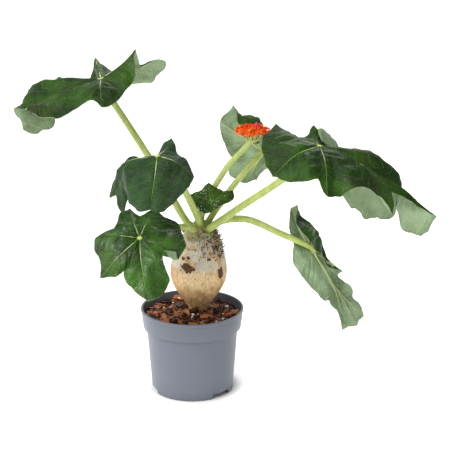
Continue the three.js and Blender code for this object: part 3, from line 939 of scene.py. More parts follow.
@dataclass
class BarkSoil:
    """The soil: a crumbly bed, coarse bark chips, fines and white perlite."""

    edge: float = 60.6
    level: float = 98.6
    mound: float = 5
    mound_width: float = 26
    below: Outline = (
        (0.5, 2.6), (25.6, 2.6), (27.6, 9.1), (47.8, 9.1), (50.6, 12), (55.6, 80), (59.8, 87), (60.6, 95),
    )
    rings: int = 44
    segments: int = 120
    stem_centre: tuple[float, float] = (8, 12)
    stem_radius: float = 14.6
    wall_gap: float = 3.5
    tilt: float = 1.3
    lean: float = 1.1
    seed: int = 21

    def surface(self, x: float, y: float) -> float:
        """Height of the bed at a place, all in millimetres.

        Args:
            x: Place across the front.
            y: Place in depth.

        Returns:
            The height.
        """
        radius = math.hypot(x, y)
        grain = math.sin(x * 0.31 + 1) * math.cos(y * 0.27) + math.sin(x * 0.13 - y * 0.17)
        rough = noise.noise(Vector((x * 0.22, y * 0.22, 3))) * 1.3
        return self.level + self.mound * math.exp(-((radius / self.mound_width) ** 2)) + 0.8 * grain + rough

    def bed(self) -> bpy.types.Object:
        """The bed under the chips, which fills the pot, with a crumbly top."""
        top = [(self.edge * (1 - ring / self.rings) + 0.4, self.level) for ring in range(self.rings)]
        bed = turned("bark_bed", [*self.below, *top], self.segments)
        for vertex in bed.data.vertices:
            if vertex.co.z > (self.level - 0.1) * MM:
                vertex.co.z = (self.surface(vertex.co.x / MM, vertex.co.y / MM) - 1) * MM
        return bed

    def lump(self, size: Place, seed: float, cuts: int) -> bpy.types.Object:
        """An irregular lump, modelled once for its copies.

        Args:
            size: Its size along each axis, in millimetres.
            seed: Where its noise starts.
            cuts: Cuts across each face of the cube that it is shaped from.

        Returns:
            The lump at the origin.
        """
        deselect()
        bpy.ops.mesh.primitive_cube_add(size=1, location=(0, 0, 0))
        lump = named("lump")
        bpy.ops.object.mode_set(mode="EDIT")
        bpy.ops.mesh.subdivide(number_cuts=cuts, smoothness=0.3)
        bpy.ops.object.mode_set(mode="OBJECT")
        for vertex in lump.data.vertices:
            push = 1 + 0.55 * noise.noise(vertex.co * 2.1 + Vector((seed, 2 * seed, 0)))
            vertex.co = Vector([c * s * MM for c, s in zip(vertex.co * push, size)])
        shade_smooth(lump, 28)
        return lump

    def strewn(self, litter: Litter) -> bpy.types.Object:
        """Strews copies of lumps over the bed, clear of the stem.

        Args:
            litter: What is strewn.

        Returns:
            All the copies as one piece; each copy carries a tone of its own.
        """
        kinds = [self.lump(size, litter.seed + i, litter.cuts) for i, size in enumerate(litter.shapes)]
        draw = random.Random(self.seed + litter.count)
        copies: list[bpy.types.Object] = []
        while len(copies) < litter.count:
            radius = math.sqrt(draw.random()) * (self.edge - self.wall_gap)
            angle = draw.random() * math.tau
            x, y = radius * math.cos(angle), radius * math.sin(angle)
            if math.hypot(x - self.stem_centre[0], y - self.stem_centre[1]) < self.stem_radius:
                continue
            size = litter.smallest + (litter.largest - litter.smallest) * draw.random() ** 1.6
            if radius + 3.2 * size > self.edge + 0.6:
                size = litter.smallest
            turn = Matrix.Rotation(draw.random() * math.tau, 4, "Z")
            tilt = Matrix.Rotation((draw.random() - 0.5) * self.tilt, 4, "X")
            lean = Matrix.Rotation((draw.random() - 0.5) * self.lean, 4, "Y")
            at = Vector((x, y, self.surface(x, y) - litter.sink + 1.4 * size * draw.random())) * MM
            place = Matrix.Translation(at) @ turn @ tilt @ lean @ Matrix.Scale(size, 4)
            lump = copied(kinds[len(copies) % len(kinds)], place)
            tones = [draw.random()] * len(lump.data.vertices)
            lump.data.attributes.new("tone", "FLOAT", "POINT").data.foreach_set("value", tones)
            copies.append(lump)
        for kind in kinds:
            bpy.data.objects.remove(kind)
        return joined(litter.name, copies)

    def build(self) -> None:
        """Lays the bed and strews chips, fines and perlite on it."""
        finish_piece(self.bed(), [PEAT.material()], ["soil"])
        for litter in (CHIPS, FINES, PERLITE):
            finish_piece(self.strewn(litter), [litter.finish.material()])


# Stem


@dataclass(frozen=True)
class Tuft:
    """Where some of the stem's bristles stand, in degrees and millimetres."""

    side: float
    spread: float
    low: float
    rise: float


@dataclass
class SwollenStem:
    """The caudex: a turned, leaning body with wrinkles, scars and bristly stipules."""

    outline: Outline = (
        (0.5, 80), (7, 80.4), (11.5, 92), (13.5, 104), (18.5, 114), (27.5, 127),
        (33.6, 140), (35.4, 152), (34.4, 163), (31.2, 174), (27.4, 187), (22.8, 199),
        (18.6, 207), (13, 213), (7.5, 218), (0.5, 219.6),
    )
    foot: tuple[float, float] = (8, 12)
    crown: float = 12
    soil_height: float = 104
    free_height: float = 110
    bristles: int = 350
    bristle_radius: float = 0.55
    bristle_tip: float = 0.1
    bristle_hook: float = 0.35
    shortest: float = 3.2
    longest: float = 7.4
    front_tuft: Tuft = Tuft(-38, 36, 172, 40)
    left_tuft: Tuft = Tuft(146, 18, 196, 14)
    segments: int = 150

    def rise(self, height: float) -> float:
        """How far up the free part of the stem a height is, from 0 to 1."""
        return min(max((height - self.soil_height) / self.free_height, 0), 1)

    def centre(self, height: float) -> float:
        """Where the leaning axis is across the front at a height."""
        return self.foot[0] + (self.crown - self.foot[0]) * self.rise(height) ** 2

    def radius(self, height: float) -> float:
        """Radius of the stem at a height.

        Args:
            height: Height above the table, in millimetres.

        Returns:
            The outline's radius there.
        """
        for (r0, z0), (r1, z1) in zip(self.outline, self.outline[1:]):
            if z0 <= height <= z1:
                return r0 + (r1 - r0) * (height - z0) / (z1 - z0)
        return 1.0

    def skin(self, angle: float, height: float) -> float:
        """How far the skin stands out of the turned body.

        Args:
            angle: Direction from the axis, in radians.
            height: Height above the table, in millimetres.

        Returns:
            The distance in millimetres.
        """
        rise = self.rise(height)
        waves = 0.02 * math.sin(2 * angle + 0.6) + 0.012 * math.sin(5 * angle + 9 * rise)
        around = Vector((math.cos(angle), math.sin(angle), 0))
        wrinkle = noise.noise(around * 7 + Vector((0, 0, height * 0.02)))
        fine = noise.noise(around * 19 + Vector((0, 0, height * 0.05)))
        low = min(max((168 - height) / 50, 0.12), 1)
        lumps = noise.noise(around * 1.6 + Vector((0, 0, height * 0.045 + 7)))
        rings = 0.35 * math.sin(height * 0.62 + 2 * math.sin(angle)) * min(max((height - 168) / 20, 0), 1)
        swelling = self.radius(height) * math.sin(rise * math.pi) * waves
        return swelling - low * (0.45 * abs(wrinkle) + 0.4 * abs(fine)) + 0.5 * lumps + rings

    def body(self) -> bpy.types.Object:
        """The leaning body with its wrinkled skin."""
        body = turned("swollen_stem", smoothed(self.outline, 8), self.segments)
        for vertex in body.data.vertices:
            angle = math.atan2(vertex.co.y, vertex.co.x)
            height = vertex.co.z / MM
            reach = vertex.co.xy.length / MM
            if reach > 2:
                out = (reach + self.skin(angle, height)) / reach
                vertex.co.x *= out
                vertex.co.y *= out
            vertex.co.x += self.centre(height) * MM
            vertex.co.y += self.foot[1] * MM
        return body

    def bristle(self) -> bpy.types.Object:
        """One bristle a millimetre long, hooked at its tip."""
        deselect()
        bpy.ops.mesh.primitive_cone_add(
            vertices=5, radius1=self.bristle_radius * MM, radius2=self.bristle_tip * MM, depth=1 * MM
        )
        spike = named("bristle")
        bpy.ops.object.mode_set(mode="EDIT")
        bpy.ops.mesh.select_all(action="SELECT")
        bpy.ops.mesh.subdivide(number_cuts=2)
        bpy.ops.object.mode_set(mode="OBJECT")
        for vertex in spike.data.vertices:
            along = vertex.co.z / MM + 0.5
            vertex.co.x += self.bristle_hook * MM * along * along
            vertex.co.z += 0.5 * MM
        return spike

    def stipules(self) -> bpy.types.Object:
        """Stiff dark bristles, most of them on the front and right and a few at the left."""
        spike = self.bristle()
        draw = random.Random(7)
        copies = []
        for index in range(self.bristles):
            left = index % 4 == 3
            tuft = self.left_tuft if left else self.front_tuft
            height = tuft.low + tuft.rise * draw.random() ** 0.7
            angle = math.radians(tuft.side + draw.gauss(0, tuft.spread))
            if left:
                height = tuft.low + tuft.rise * draw.random()
            length = self.shortest + (self.longest - self.shortest) * draw.random()
            outward = Vector((math.cos(angle), math.sin(angle), 0))
            at = Vector((self.centre(height), self.foot[1], height)) + outward * (self.radius(height) - 0.6)
            aim = outward + Vector((0, 0, 0.5 + 0.9 * draw.random()))
            aim += Vector((draw.random() - 0.5, draw.random() - 0.5, 0)) * 0.7
            turn = aim.to_track_quat("Z", "X").to_matrix().to_4x4()
            scale = Matrix.Diagonal((1, 1, length, 1))
            copies.append(copied(spike, Matrix.Translation(at * MM) @ turn @ scale))
        bpy.data.objects.remove(spike)
        return joined("stipule_bristles", copies)

    def build(self) -> None:
        """Builds the stem and its stipules."""
        finish_piece(self.body(), [StemBark().material()], ["caudex"])
        horn = Crumb("stipule_horn", (0.02, 0.011, 0.004), (0.12, 0.07, 0.025), 300, roughness=0.7)
        finish_piece(self.stipules(), [horn.material()])


# Leaves

VIEW_TILT = math.radians(18)


class RayKind(Enum):
    """What a leaf's ray ends in at the margin."""

    TIP = "lobe tip with a main vein"
    CORNER = "sharp notch"
    SIDE = "smooth stretch"


@dataclass(frozen=True)
class Ray:
    """A line over the blade from the stalk's end, by a middle point, to the margin."""

    kind: RayKind
    margin: Vector
    middle: Vector

    @property
    def smooth(self) -> float:
        """1 where the margin runs smoothly past the ray."""
        return 1.0 if self.kind is RayKind.SIDE else 0.0


def seen(right: float, up: float, nearer: float) -> Vector:
    """Turns a way as seen from a little above into one in the plant's frame.

    Args:
        right: Millimetres to the right.
        up: Millimetres up in the view.
        nearer: Millimetres towards the viewer.

    Returns:
        The way, in metres.
    """
    sine, cosine = math.sin(VIEW_TILT), math.cos(VIEW_TILT)
    return Vector((right, sine * up - cosine * nearer, cosine * up + sine * nearer)) * MM


def tip(*way: float) -> Ray:
    """A ray to a lobe's tip."""
    return Ray(RayKind.TIP, seen(*way[:3]), seen(*way[3:]))


def corner(*way: float) -> Ray:
    """A ray to a sharp notch."""
    return Ray(RayKind.CORNER, seen(*way[:3]), seen(*way[3:]))


def side(*way: float) -> Ray:
    """A ray to a smooth stretch of the margin."""
    return Ray(RayKind.SIDE, seen(*way[:3]), seen(*way[3:]))


@dataclass(frozen=True)
class Stalk:
    """A leaf stalk's lower way and its radii at both ends."""

    way: Sequence[Place]
    base: float
    top: float


@dataclass(frozen=True)
class Roll:
    """A stretch of margin, from one place round the blade to another, that rolls over forwards."""

    start: float
    stop: float
    rise: float
    reach: float
    width: float = 0.3

    def weight(self, place: float) -> float:
        """How far the blade is rolled at a place, from 0 to 1."""
        part = (place - self.start) / (self.stop - self.start)
        weight = max(min(part * 4.2, (1 - part) * 5.6, 1), 0)
        return weight * weight * (3 - 2 * weight)

    def over(self, along: float) -> Vector:
        """The way from the margin to a point on the roll.

        Args:
            along: The point's place on its ray, from 0 to 1.

        Returns:
            The way, in metres.
        """
        turn = max(along - 1 + self.width, 0) / self.width
        up = 0.12 * self.reach * math.sin(turn * math.pi) + self.rise * turn * turn
        return seen(0, up, self.reach * math.sin(turn * math.pi / 2))


@dataclass
class Leaf:
    """One peltate leaf: a thin veined blade on a long round stalk."""

    name: str
    hub: Place
    stalk: Stalk
    rays: list[Ray]
    columns_per_ray: int = 10
    rings: int = 26
    thickness: float = 1.1
    bend: float = 9
    groove: float = 0.9
    groove_width: float = 2.6
    arch: float = 0.55
    ripple: float = 6.4
    crinkle: float = 0
    scallop: float = 0.09
    rib: float = 1.0
    roll: Optional[Roll] = None
    slot: str = "leaf"

    def apart(self, first: float, second: float) -> float:
        """How many rays two places round the blade are apart."""
        return min((first - second) % len(self.rays), (second - first) % len(self.rays))

    def between(self, key: str, least: float, place: float) -> Vector:
        """A smooth value between neighbouring rays, sharp where a ray isn't smooth.

        Args:
            key: The rays' field.
            least: Smoothness of the sharp rays.
            place: Place round the blade, counted in rays.

        Returns:
            The field's value there.
        """
        count = len(self.rays)
        index = int(place) % count

        def at(k: int) -> Vector:
            """The field's value at a ray."""
            return getattr(self.rays[k % count], key)

        def slope(k: int) -> Vector:
            """The value's way past a ray."""
            return (at(k + 1) - at(k - 1)) * 0.5 * max(self.rays[k % count].smooth, least)

        return hermite(at(index), slope(index), at(index + 1), slope(index + 1), place - int(place))

    def ends(self, place: float) -> tuple[Vector, Vector]:
        """Middle point and margin of the ray at a place round the blade."""
        return self.between("middle", 0.6, place), self.between("margin", 0.0, place)

    @staticmethod
    def along_ray(middle: Vector, margin: Vector, along: float) -> Vector:
        """A point on a ray.

        Args:
            middle: The ray's middle point, from the hub.
            margin: The ray's end, from the hub.
            along: How far along the point is, from 0 at the stalk to 1 at the margin.

        Returns:
            The point, from the hub.
        """
        if along < 0.5:
            return hermite(Vector(), middle, middle, margin * 0.5, 2 * along)
        return hermite(middle, margin * 0.5, margin, margin - middle, 2 * along - 1)

    def on_blade(self, middle: Vector, margin: Vector, along: float, place: float) -> Vector:
        """A point on a ray of the blade, where the margin may be rolled over.

        Args:
            middle: The ray's middle point, from the hub.
            margin: The ray's end, from the hub.
            along: How far along the point is, from 0 to 1.
            place: The ray's place round the blade.

        Returns:
            The point, from the hub.
        """
        flat = self.along_ray(middle, margin, along)
        weight = self.roll.weight(place) if self.roll else 0
        if weight == 0:
            return flat
        edge = self.along_ray(middle, margin, min(along / (1 - self.roll.width), 1))
        return flat.lerp(edge + self.roll.over(along), weight)

    @property
    def tips(self) -> list[int]:
        """The rays that carry a main vein."""
        return [index for index, ray in enumerate(self.rays) if ray.kind is RayKind.TIP]

    def hub_normal(self) -> Vector:
        """The blade's upward direction where the stalk meets it."""
        count = 2 * len(self.rays)
        ring = [self.along_ray(*self.ends(column / 2), 0.17) for column in range(count)]
        total = Vector()
        for column in range(count):
            total += ring[column].cross(ring[(column + 1) % count]).normalized()
        return total.normalized()

    def scalloped(self, margin: Vector, place: float, first: int, along: float) -> float:
        """Draws a point in a little where the margin is scalloped.

        Args:
            margin: The end of the point's ray, from the hub.
            place: The ray's place round the blade.
            first: The nearest lobe tip, which stays as long as it is.
            along: How far along its ray the point is.

        Returns:
            How far along it is with the scallops.
        """
        calm = min(1.4 * self.apart(place, first), 1)
        depth = 0.12 + 0.55 * noise.noise(margin * 60 + Vector((self.hub[2], 0, 0)))
        depth += 0.15 * noise.noise(margin * 190 + Vector((0, self.hub[2], 0)))
        fringe = max(along - 0.55, 0) / 0.45
        return along * (1 - self.scallop * depth * calm * fringe * fringe)

    def blade(self, top: bpy.types.Material, under: bpy.types.Material) -> bpy.types.Object:
        """Builds the blade: a grid wrapped round the hub, given veins, ripples and thickness.

        Args:
            top: Material of the upper face.
            under: Material of the lower face and the margin.

        Returns:
            The blade.
        """
        count = len(self.rays)
        piece = grid(f"blade_{self.name}", count * self.columns_per_ray, self.rings)
        mesh = piece.data
        hub = Vector(self.hub) * MM
        tips = self.tips
        veins = {index: self.ends(index) for index in tips}
        columns: dict[int, tuple[Vector, Vector, float]] = {}
        near: dict[int, list[int]] = {}
        from_vein, from_hub, edge = [], [], []
        for vertex in mesh.vertices:
            place = (vertex.co.x + 0.5) * count
            along = vertex.co.y + 0.5
            key = round(place * self.columns_per_ray)
            if key not in columns:
                middle, margin = self.ends(place)
                columns[key] = (middle, margin, middle.length + (margin - middle).length)
                near[key] = sorted(tips, key=lambda k: self.apart(place, k))[:2]
            middle, margin, length = columns[key]
            drawn_in = self.scalloped(margin, place, near[key][0], along)
            point = self.on_blade(middle, margin, drawn_in, place)
            gaps = [(point - self.along_ray(*veins[k], along)).length for k in near[key]]
            from_vein.append(min(gaps) / MM)
            from_hub.append(along * length / MM)
            edge.append(along)
            vertex.co = hub + point
        for name, values in (("from_vein", from_vein), ("from_hub", from_hub), ("edge", edge)):
            mesh.attributes.new(name, "FLOAT", "POINT").data.foreach_set("value", values)
        bpy.ops.object.mode_set(mode="EDIT")
        bpy.ops.mesh.select_all(action="SELECT")
        bpy.ops.mesh.remove_doubles(threshold=2e-6)
        bpy.ops.mesh.flip_normals()
        bpy.ops.object.mode_set(mode="OBJECT")
        self.relief(mesh)
        for material in (top, under):
            mesh.materials.append(material)
        thickness = self.thickness * MM
        apply_modifier(
            piece, "SOLIDIFY", thickness=thickness, offset=0, material_offset=1, material_offset_rim=1
        )
        shade_smooth(piece, 55)
        return piece

    def relief(self, mesh: bpy.types.Mesh) -> None:
        """Sinks the main veins, arches the blade between side veins and ripples the margin.

        Args:
            mesh: The blade's mesh, still one face thick.
        """
        names = ("from_vein", "from_hub", "edge")
        across, along, edge = ([item.value for item in mesh.attributes[name].data] for name in names)
        normals = [vertex.normal.copy() for vertex in mesh.vertices]
        for index, vertex in enumerate(mesh.vertices):
            inner = min(edge[index] * 6, 1) * min((1 - edge[index]) * 8, 1)
            groove = -self.groove * math.exp(-((across[index] / self.groove_width) ** 2))
            phase = (along[index] - VEIN_SLANT * across[index]) / VEIN_STEP
            arch = self.arch * math.sin(math.tau * phase) * min(across[index] / 6, 1)
            outer = min(edge[index] * 1.6, 1) ** 2 * min(across[index] / 9, 1)
            wave = self.ripple * (noise.noise(vertex.co * 34) + 0.3 * noise.noise(vertex.co * 90))
            wave += self.crinkle * noise.noise(vertex.co * 150)
            vertex.co += normals[index] * (inner * (groove + arch) + outer * wave) * MM

    def ribs(self, vein: bpy.types.Material) -> list[bpy.types.Object]:
        """Builds the main veins as round ribs that taper to the lobe tips.

        Args:
            vein: Their material.

        Returns:
            One rib for each lobe tip.
        """
        hub = Vector(self.hub) * MM
        steps = [0.02 + 0.86 * step / 30 for step in range(31)]
        radii = [self.rib * (0.95 * (1 - along) ** 0.8 + 0.2) for along in steps]
        ribs = []
        for index in self.tips:
            ray, after = self.ends(index), self.ends(index + 0.1)
            before = self.ends(index - 0.1 + len(self.rays))
            points = []
            for along in steps:
                outward = self.along_ray(*ray, along + 0.02) - self.along_ray(*ray, along - 0.02)
                round_way = self.along_ray(*after, along) - self.along_ray(*before, along)
                below = round_way.cross(outward).normalized()
                points.append(hub + self.along_ray(*ray, along) + below * self.thickness * MM)
            rib = tube(f"rib_{self.name}_{index}", points, radii, 2)
            rib.data.materials.append(vein)
            ribs.append(rib)
        return ribs

    def stem(self) -> bpy.types.Object:
        """The stalk, which swells a little at its foot and meets the blade square."""
        hub = Vector(self.hub)
        normal = self.hub_normal()
        way = [Vector(point) for point in self.stalk.way]
        way += [hub - normal * self.bend, hub - normal * 0.35]
        points = [point * MM for point in catmull(way, 12)]
        last = len(points) - 1
        radii = []
        for index in range(len(points)):
            along = index / last
            radius = self.stalk.base + (self.stalk.top - self.stalk.base) * along
            swell = 1 + 0.12 * math.exp(-((along / 0.06) ** 2))
            uneven = 1 + 0.015 * math.sin(index * 1.7)
            radii.append(radius * swell * uneven)
        return tube(f"stalk_{self.name}", points, radii, 6)

    def build(
        self, top: bpy.types.Material, under: bpy.types.Material, vein: bpy.types.Material,
        green: bpy.types.Material,
    ) -> None:
        """Builds the blade with its ribs, and the stalk.

        Args:
            top: Material of the upper face.
            under: Material of the lower face and the margin.
            vein: Material of the ribs.
            green: Material of the stalk.
        """
        blade = self.blade(top, under)
        whole = joined(f"blade_{self.name}", [blade, *self.ribs(vein)])
        finish_piece(whole, [], [f"leaf_{self.name}"])
        finish_piece(self.stem(), [green], [f"petiole_{self.name}"])


def plant_leaves() -> list[Leaf]:
    """The seven leaves, each with its hub, stalk and rays in millimetres."""
    return [
        Leaf(
            "upper_left", (-108, -10, 405),
            Stalk(((2, 12, 207), (-7, 11, 218), (-44, 2, 290), (-78, -5, 349)), 4.8, 3.6),
            [
                tip(-88, -36, 6, -46, -17, 4), side(-80, -47, 28, -44, -20, 20),
                side(-58, -54, 42, -32, -21, 26), side(-31, -42, 46, -17, -16, 26),
                side(-8, -31, 46, -4, -10, 24), tip(5, -39, 56, 2, -13, 32),
                side(23, -34, 48, 14, -9, 28), side(37, -12, 26, 22, 0, 14), side(43, 8, 14, 26, 8, 8),
                tip(42, 35, 4, 24, 17, 2), corner(47, 18, -20, 26, 14, -10),
                side(68, 27, -34, 36, 17, -18), tip(77, 24, -44, 38, 17, -24),
                side(67, 7, -54, 34, 15, -30), side(46, -4, -60, 28, 11, -32),
                side(15, 9, -60, 10, 7, -32), tip(-12, 32, -64, -5, 13, -34),
                side(-19, 5, -54, -10, 1, -27), side(-38, -6, -56, -22, -4, -28),
                tip(-57, 8, -62, -32, -2, -30), side(-64, -10, -68, -48, -5, -37),
                side(-68, -50, -70, -64, -6, -42), side(-80, -60, -58, -82, -1, -41),
                side(-95, -60, -44, -88, -5, -31), side(-106, -39, -22, -77, -15, -14),
            ],
            ripple=9.5,
        ),
        Leaf(
            "mid_left", (-38, -90, 331),
            Stalk(((11, 7, 214), (8, -2, 226), (-8, -34, 272), (-24, -64, 306)), 4.6, 3.5),
            [
                tip(-8, -64, 12, -2, -28, 22), side(8, -66, 10, 6, -28, 22),
                side(25, -51, 0, 14, -24, 20), side(38, -38, -4, 22, -17, 14),
                tip(43, -25, -10, 23, -8, 8), side(34, -8, -18, 19, -2, -6),
                side(25, -1, -22, 14, 1, -12), tip(16, 22, -36, 9, 8, -18), side(5, 11, -33, 3, 4, -17),
                side(-8, -2, -32, -4, -1, -16), side(-24, -5, -40, -12, -2, -20),
                side(-38, -5, -50, -22, -2, -24), side(-55, -27, -54, -34, -5, -28),
                tip(-59, -49, -50, -42, -9, -27), corner(-52, -47, -40, -40, -13, -20),
                side(-42, -68, -36, -38, -16, -14), corner(-33, -38, -24, -36, -12, -2),
                corner(-30, -55, -2, -33, -22, 14), side(-21, -66, 6, -12, -30, 22),
            ],
        ),
        Leaf(
            "lower_left", (-60, -95, 231),
            Stalk(((6, 4, 207), (-2, -8, 216), (-30, -46, 226)), 4.6, 3.4),
            [
                tip(12, -74, 34, 4, -36, 22), side(29, -69, 27, 13, -31, 20),
                side(38, -49, 18, 19, -24, 18), side(31, -33, 12, 16, -16, 14),
                corner(26, -22, 6, 14, -10, 10), tip(46, -26, 2, 24, -9, 6),
                side(54, -9, -12, 29, -4, 2), side(47, 10, -22, 26, 6, -4),
                side(35, 20, -26, 18, 11, -8), tip(13, 33, -30, 7, 17, -10),
                corner(0, 27, -20, 0, 13, -6), tip(-13, 35, -30, -7, 18, -10),
                side(-24, 29, -24, -13, 15, -6), corner(-31, 11, -10, -16, 6, 2),
                tip(-47, 4, -12, -26, 3, 2), side(-54, -11, -6, -29, -4, 4),
                side(-50, -28, 2, -27, -13, 10), tip(-46, -48, 6, -24, -22, 14),
                side(-27, -46, 14, -14, -22, 16), corner(-13, -35, 15, -7, -18, 14),
                side(-15, -48, 20, -7, -24, 17), side(-7, -62, 28, -4, -30, 20),
            ],
            roll=Roll(4.05, 4.95, rise=9, reach=7),
        ),
        Leaf(
            "right", (154, -60, 335),
            Stalk(((17, 5, 207), (26, -4, 216), (62, -20, 247), (110, -42, 287)), 5, 3.8),
            [
                tip(-57, -38, 22, -29, -12, 16), side(-38, -44, 36, -20, -14, 22),
                side(-18, -45, 46, -10, -14, 26), corner(-5, -43, 44, -3, -14, 24),
                tip(6, -62, 50, 5, -22, 30), side(21, -62, 46, 15, -22, 28),
                side(38, -54, 44, 24, -19, 24), side(54, -54, 40, 34, -18, 20),
                side(70, -62, 34, 44, -20, 19), tip(84, -83, 26, 50, -34, 14),
                corner(87, -57, 4, 58, -31, 6), side(106, -66, -4, 70, -35, -2),
                tip(141, -84, -16, 82, -40, -8), corner(125, -110, -26, 84, -42, -14),
                side(103, -100, -32, 87, -40, -18), corner(93, -75, -36, 89, -32, -22),
                side(89, -88, -44, 87, -21, -28), side(71, -88, -56, 72, -13, -36),
                side(55, -83, -64, 56, -18, -40), side(39, -69, -66, 40, -15, -40),
                side(26, -38, -66, 25, -12, -38), side(26, -3, -66, 17, -5, -36),
                side(14, 17, -60, 7, 3, -32), tip(-5, 27, -46, -3, 9, -26),
                side(-14, 14, -44, -8, 8, -22), side(-28, 16, -42, -14, 7, -18),
                side(-40, 19, -38, -20, 9, -16), tip(-51, 28, -34, -26, 10, -12),
                side(-68, 5, -14, -35, 4, 0), side(-68, -14, 6, -35, -2, 10),
            ],
            roll=Roll(20.3, 22.85, rise=-20, reach=26),
        ),
        Leaf(
            "lower_right", (150, -15, 187),
            Stalk(((22, 11, 207), (34, 8, 218), (68, -6, 226), (108, -20, 213)), 4.8, 3.5),
            [
                tip(55, -92, 10, 31, -51, 2), side(46, -94, 14, 30, -52, 4),
                tip(36, -97, 18, 28, -51, 6), corner(30, -72, 20, 22, -46, 9),
                side(22, -60, 26, 13, -34, 12), side(12, -58, 28, 5, -28, 14),
                side(-5, -40, 24, -3, -20, 12), side(-17, -25, 20, -9, -12, 10),
                side(-25, -10, 14, -13, -5, 8), side(-24, 9, 4, -12, 4, 4),
                side(-29, 25, -6, -15, 12, -4), side(-29, 43, -14, -15, 20, -10),
                tip(-26, 55, -18, -15, 27, -10), tip(-18, 58, -8, -11, 34, -8),
                side(-19, 33, 16, -4, 38, -8), side(-9, 16, 18, 6, 27, -8), side(2, 7, 16, 11, 15, -8),
                side(13, -1, 9, 15, 4, -8), side(22, -16, -4, 17, -4, -8),
                tip(39, -25, -12, 20, -11, -10), side(33, -30, -13, 18, -19, -11),
                side(43, -40, -16, 22, -30, -11), side(50, -47, -14, 25, -35, -10),
                side(53, -57, -10, 28, -41, -8), side(62, -66, -8, 30, -46, -5),
                tip(64, -81, 0, 31, -49, -2),
            ],
            bend=5,
        ),
        Leaf(
            "back", (90, 60, 295),
            Stalk(((19, 15, 213), (26, 16, 225), (62, 33, 271)), 4.4, 3.4),
            [
                tip(-38, 60, -12, -21, 31, -8), side(-30, 36, 14, -18, 44, -9),
                side(-18, 32, 12, -9, 42, -9), side(-5, 27, 4, -2, 34, -10),
                side(13, 17, -12, 9, 14, -10), side(21, -8, -20, 10, -4, -8),
                side(9, -18, -12, 5, -9, -5), side(-4, -28, -6, -1, -12, -3),
                corner(-10, -35, -4, -6, -16, -2), tip(-22, -40, -6, -10, -19, -3),
                side(-33, -36, -8, -16, -17, -4), side(-44, -26, -10, -21, -12, -5),
                corner(-37, -9, -10, -18, -4, -5), side(-46, 3, -6, -21, 2, -4),
                side(-54, 22, -2, -25, 11, -3), tip(-55, 37, -4, -26, 18, -5),
                side(-48, 52, -10, -23, 25, -8),
            ],
        ),
        Leaf(
            "young", (24, 3, 247),
            Stalk(((12, 12, 218), (16, 8, 232)), 2.6, 2.2),
            [
                side(-3, -16, 5, -1, -6, 3), side(14, -6, 2, 6, -2, 3), side(28, 2, -2, 14, 2, 2),
                tip(28, 13, -8, 14, 6, 0), corner(16, 12, -7, 8, 6, -1), side(9, 17, -8, 4, 8, -1),
                tip(-3, 23, -10, -2, 9, -2), corner(-11, 15, -7, -5, 7, -1), tip(-26, 8, -2, -12, 4, 1),
                side(-20, -2, 2, -10, 0, 2), side(-14, -13, 4, -7, -4, 3),
            ],
            ripple=0.6, crinkle=2.4, scallop=0.2, rib=0.5, slot="young_leaf",
        ),
    ]


# Flower


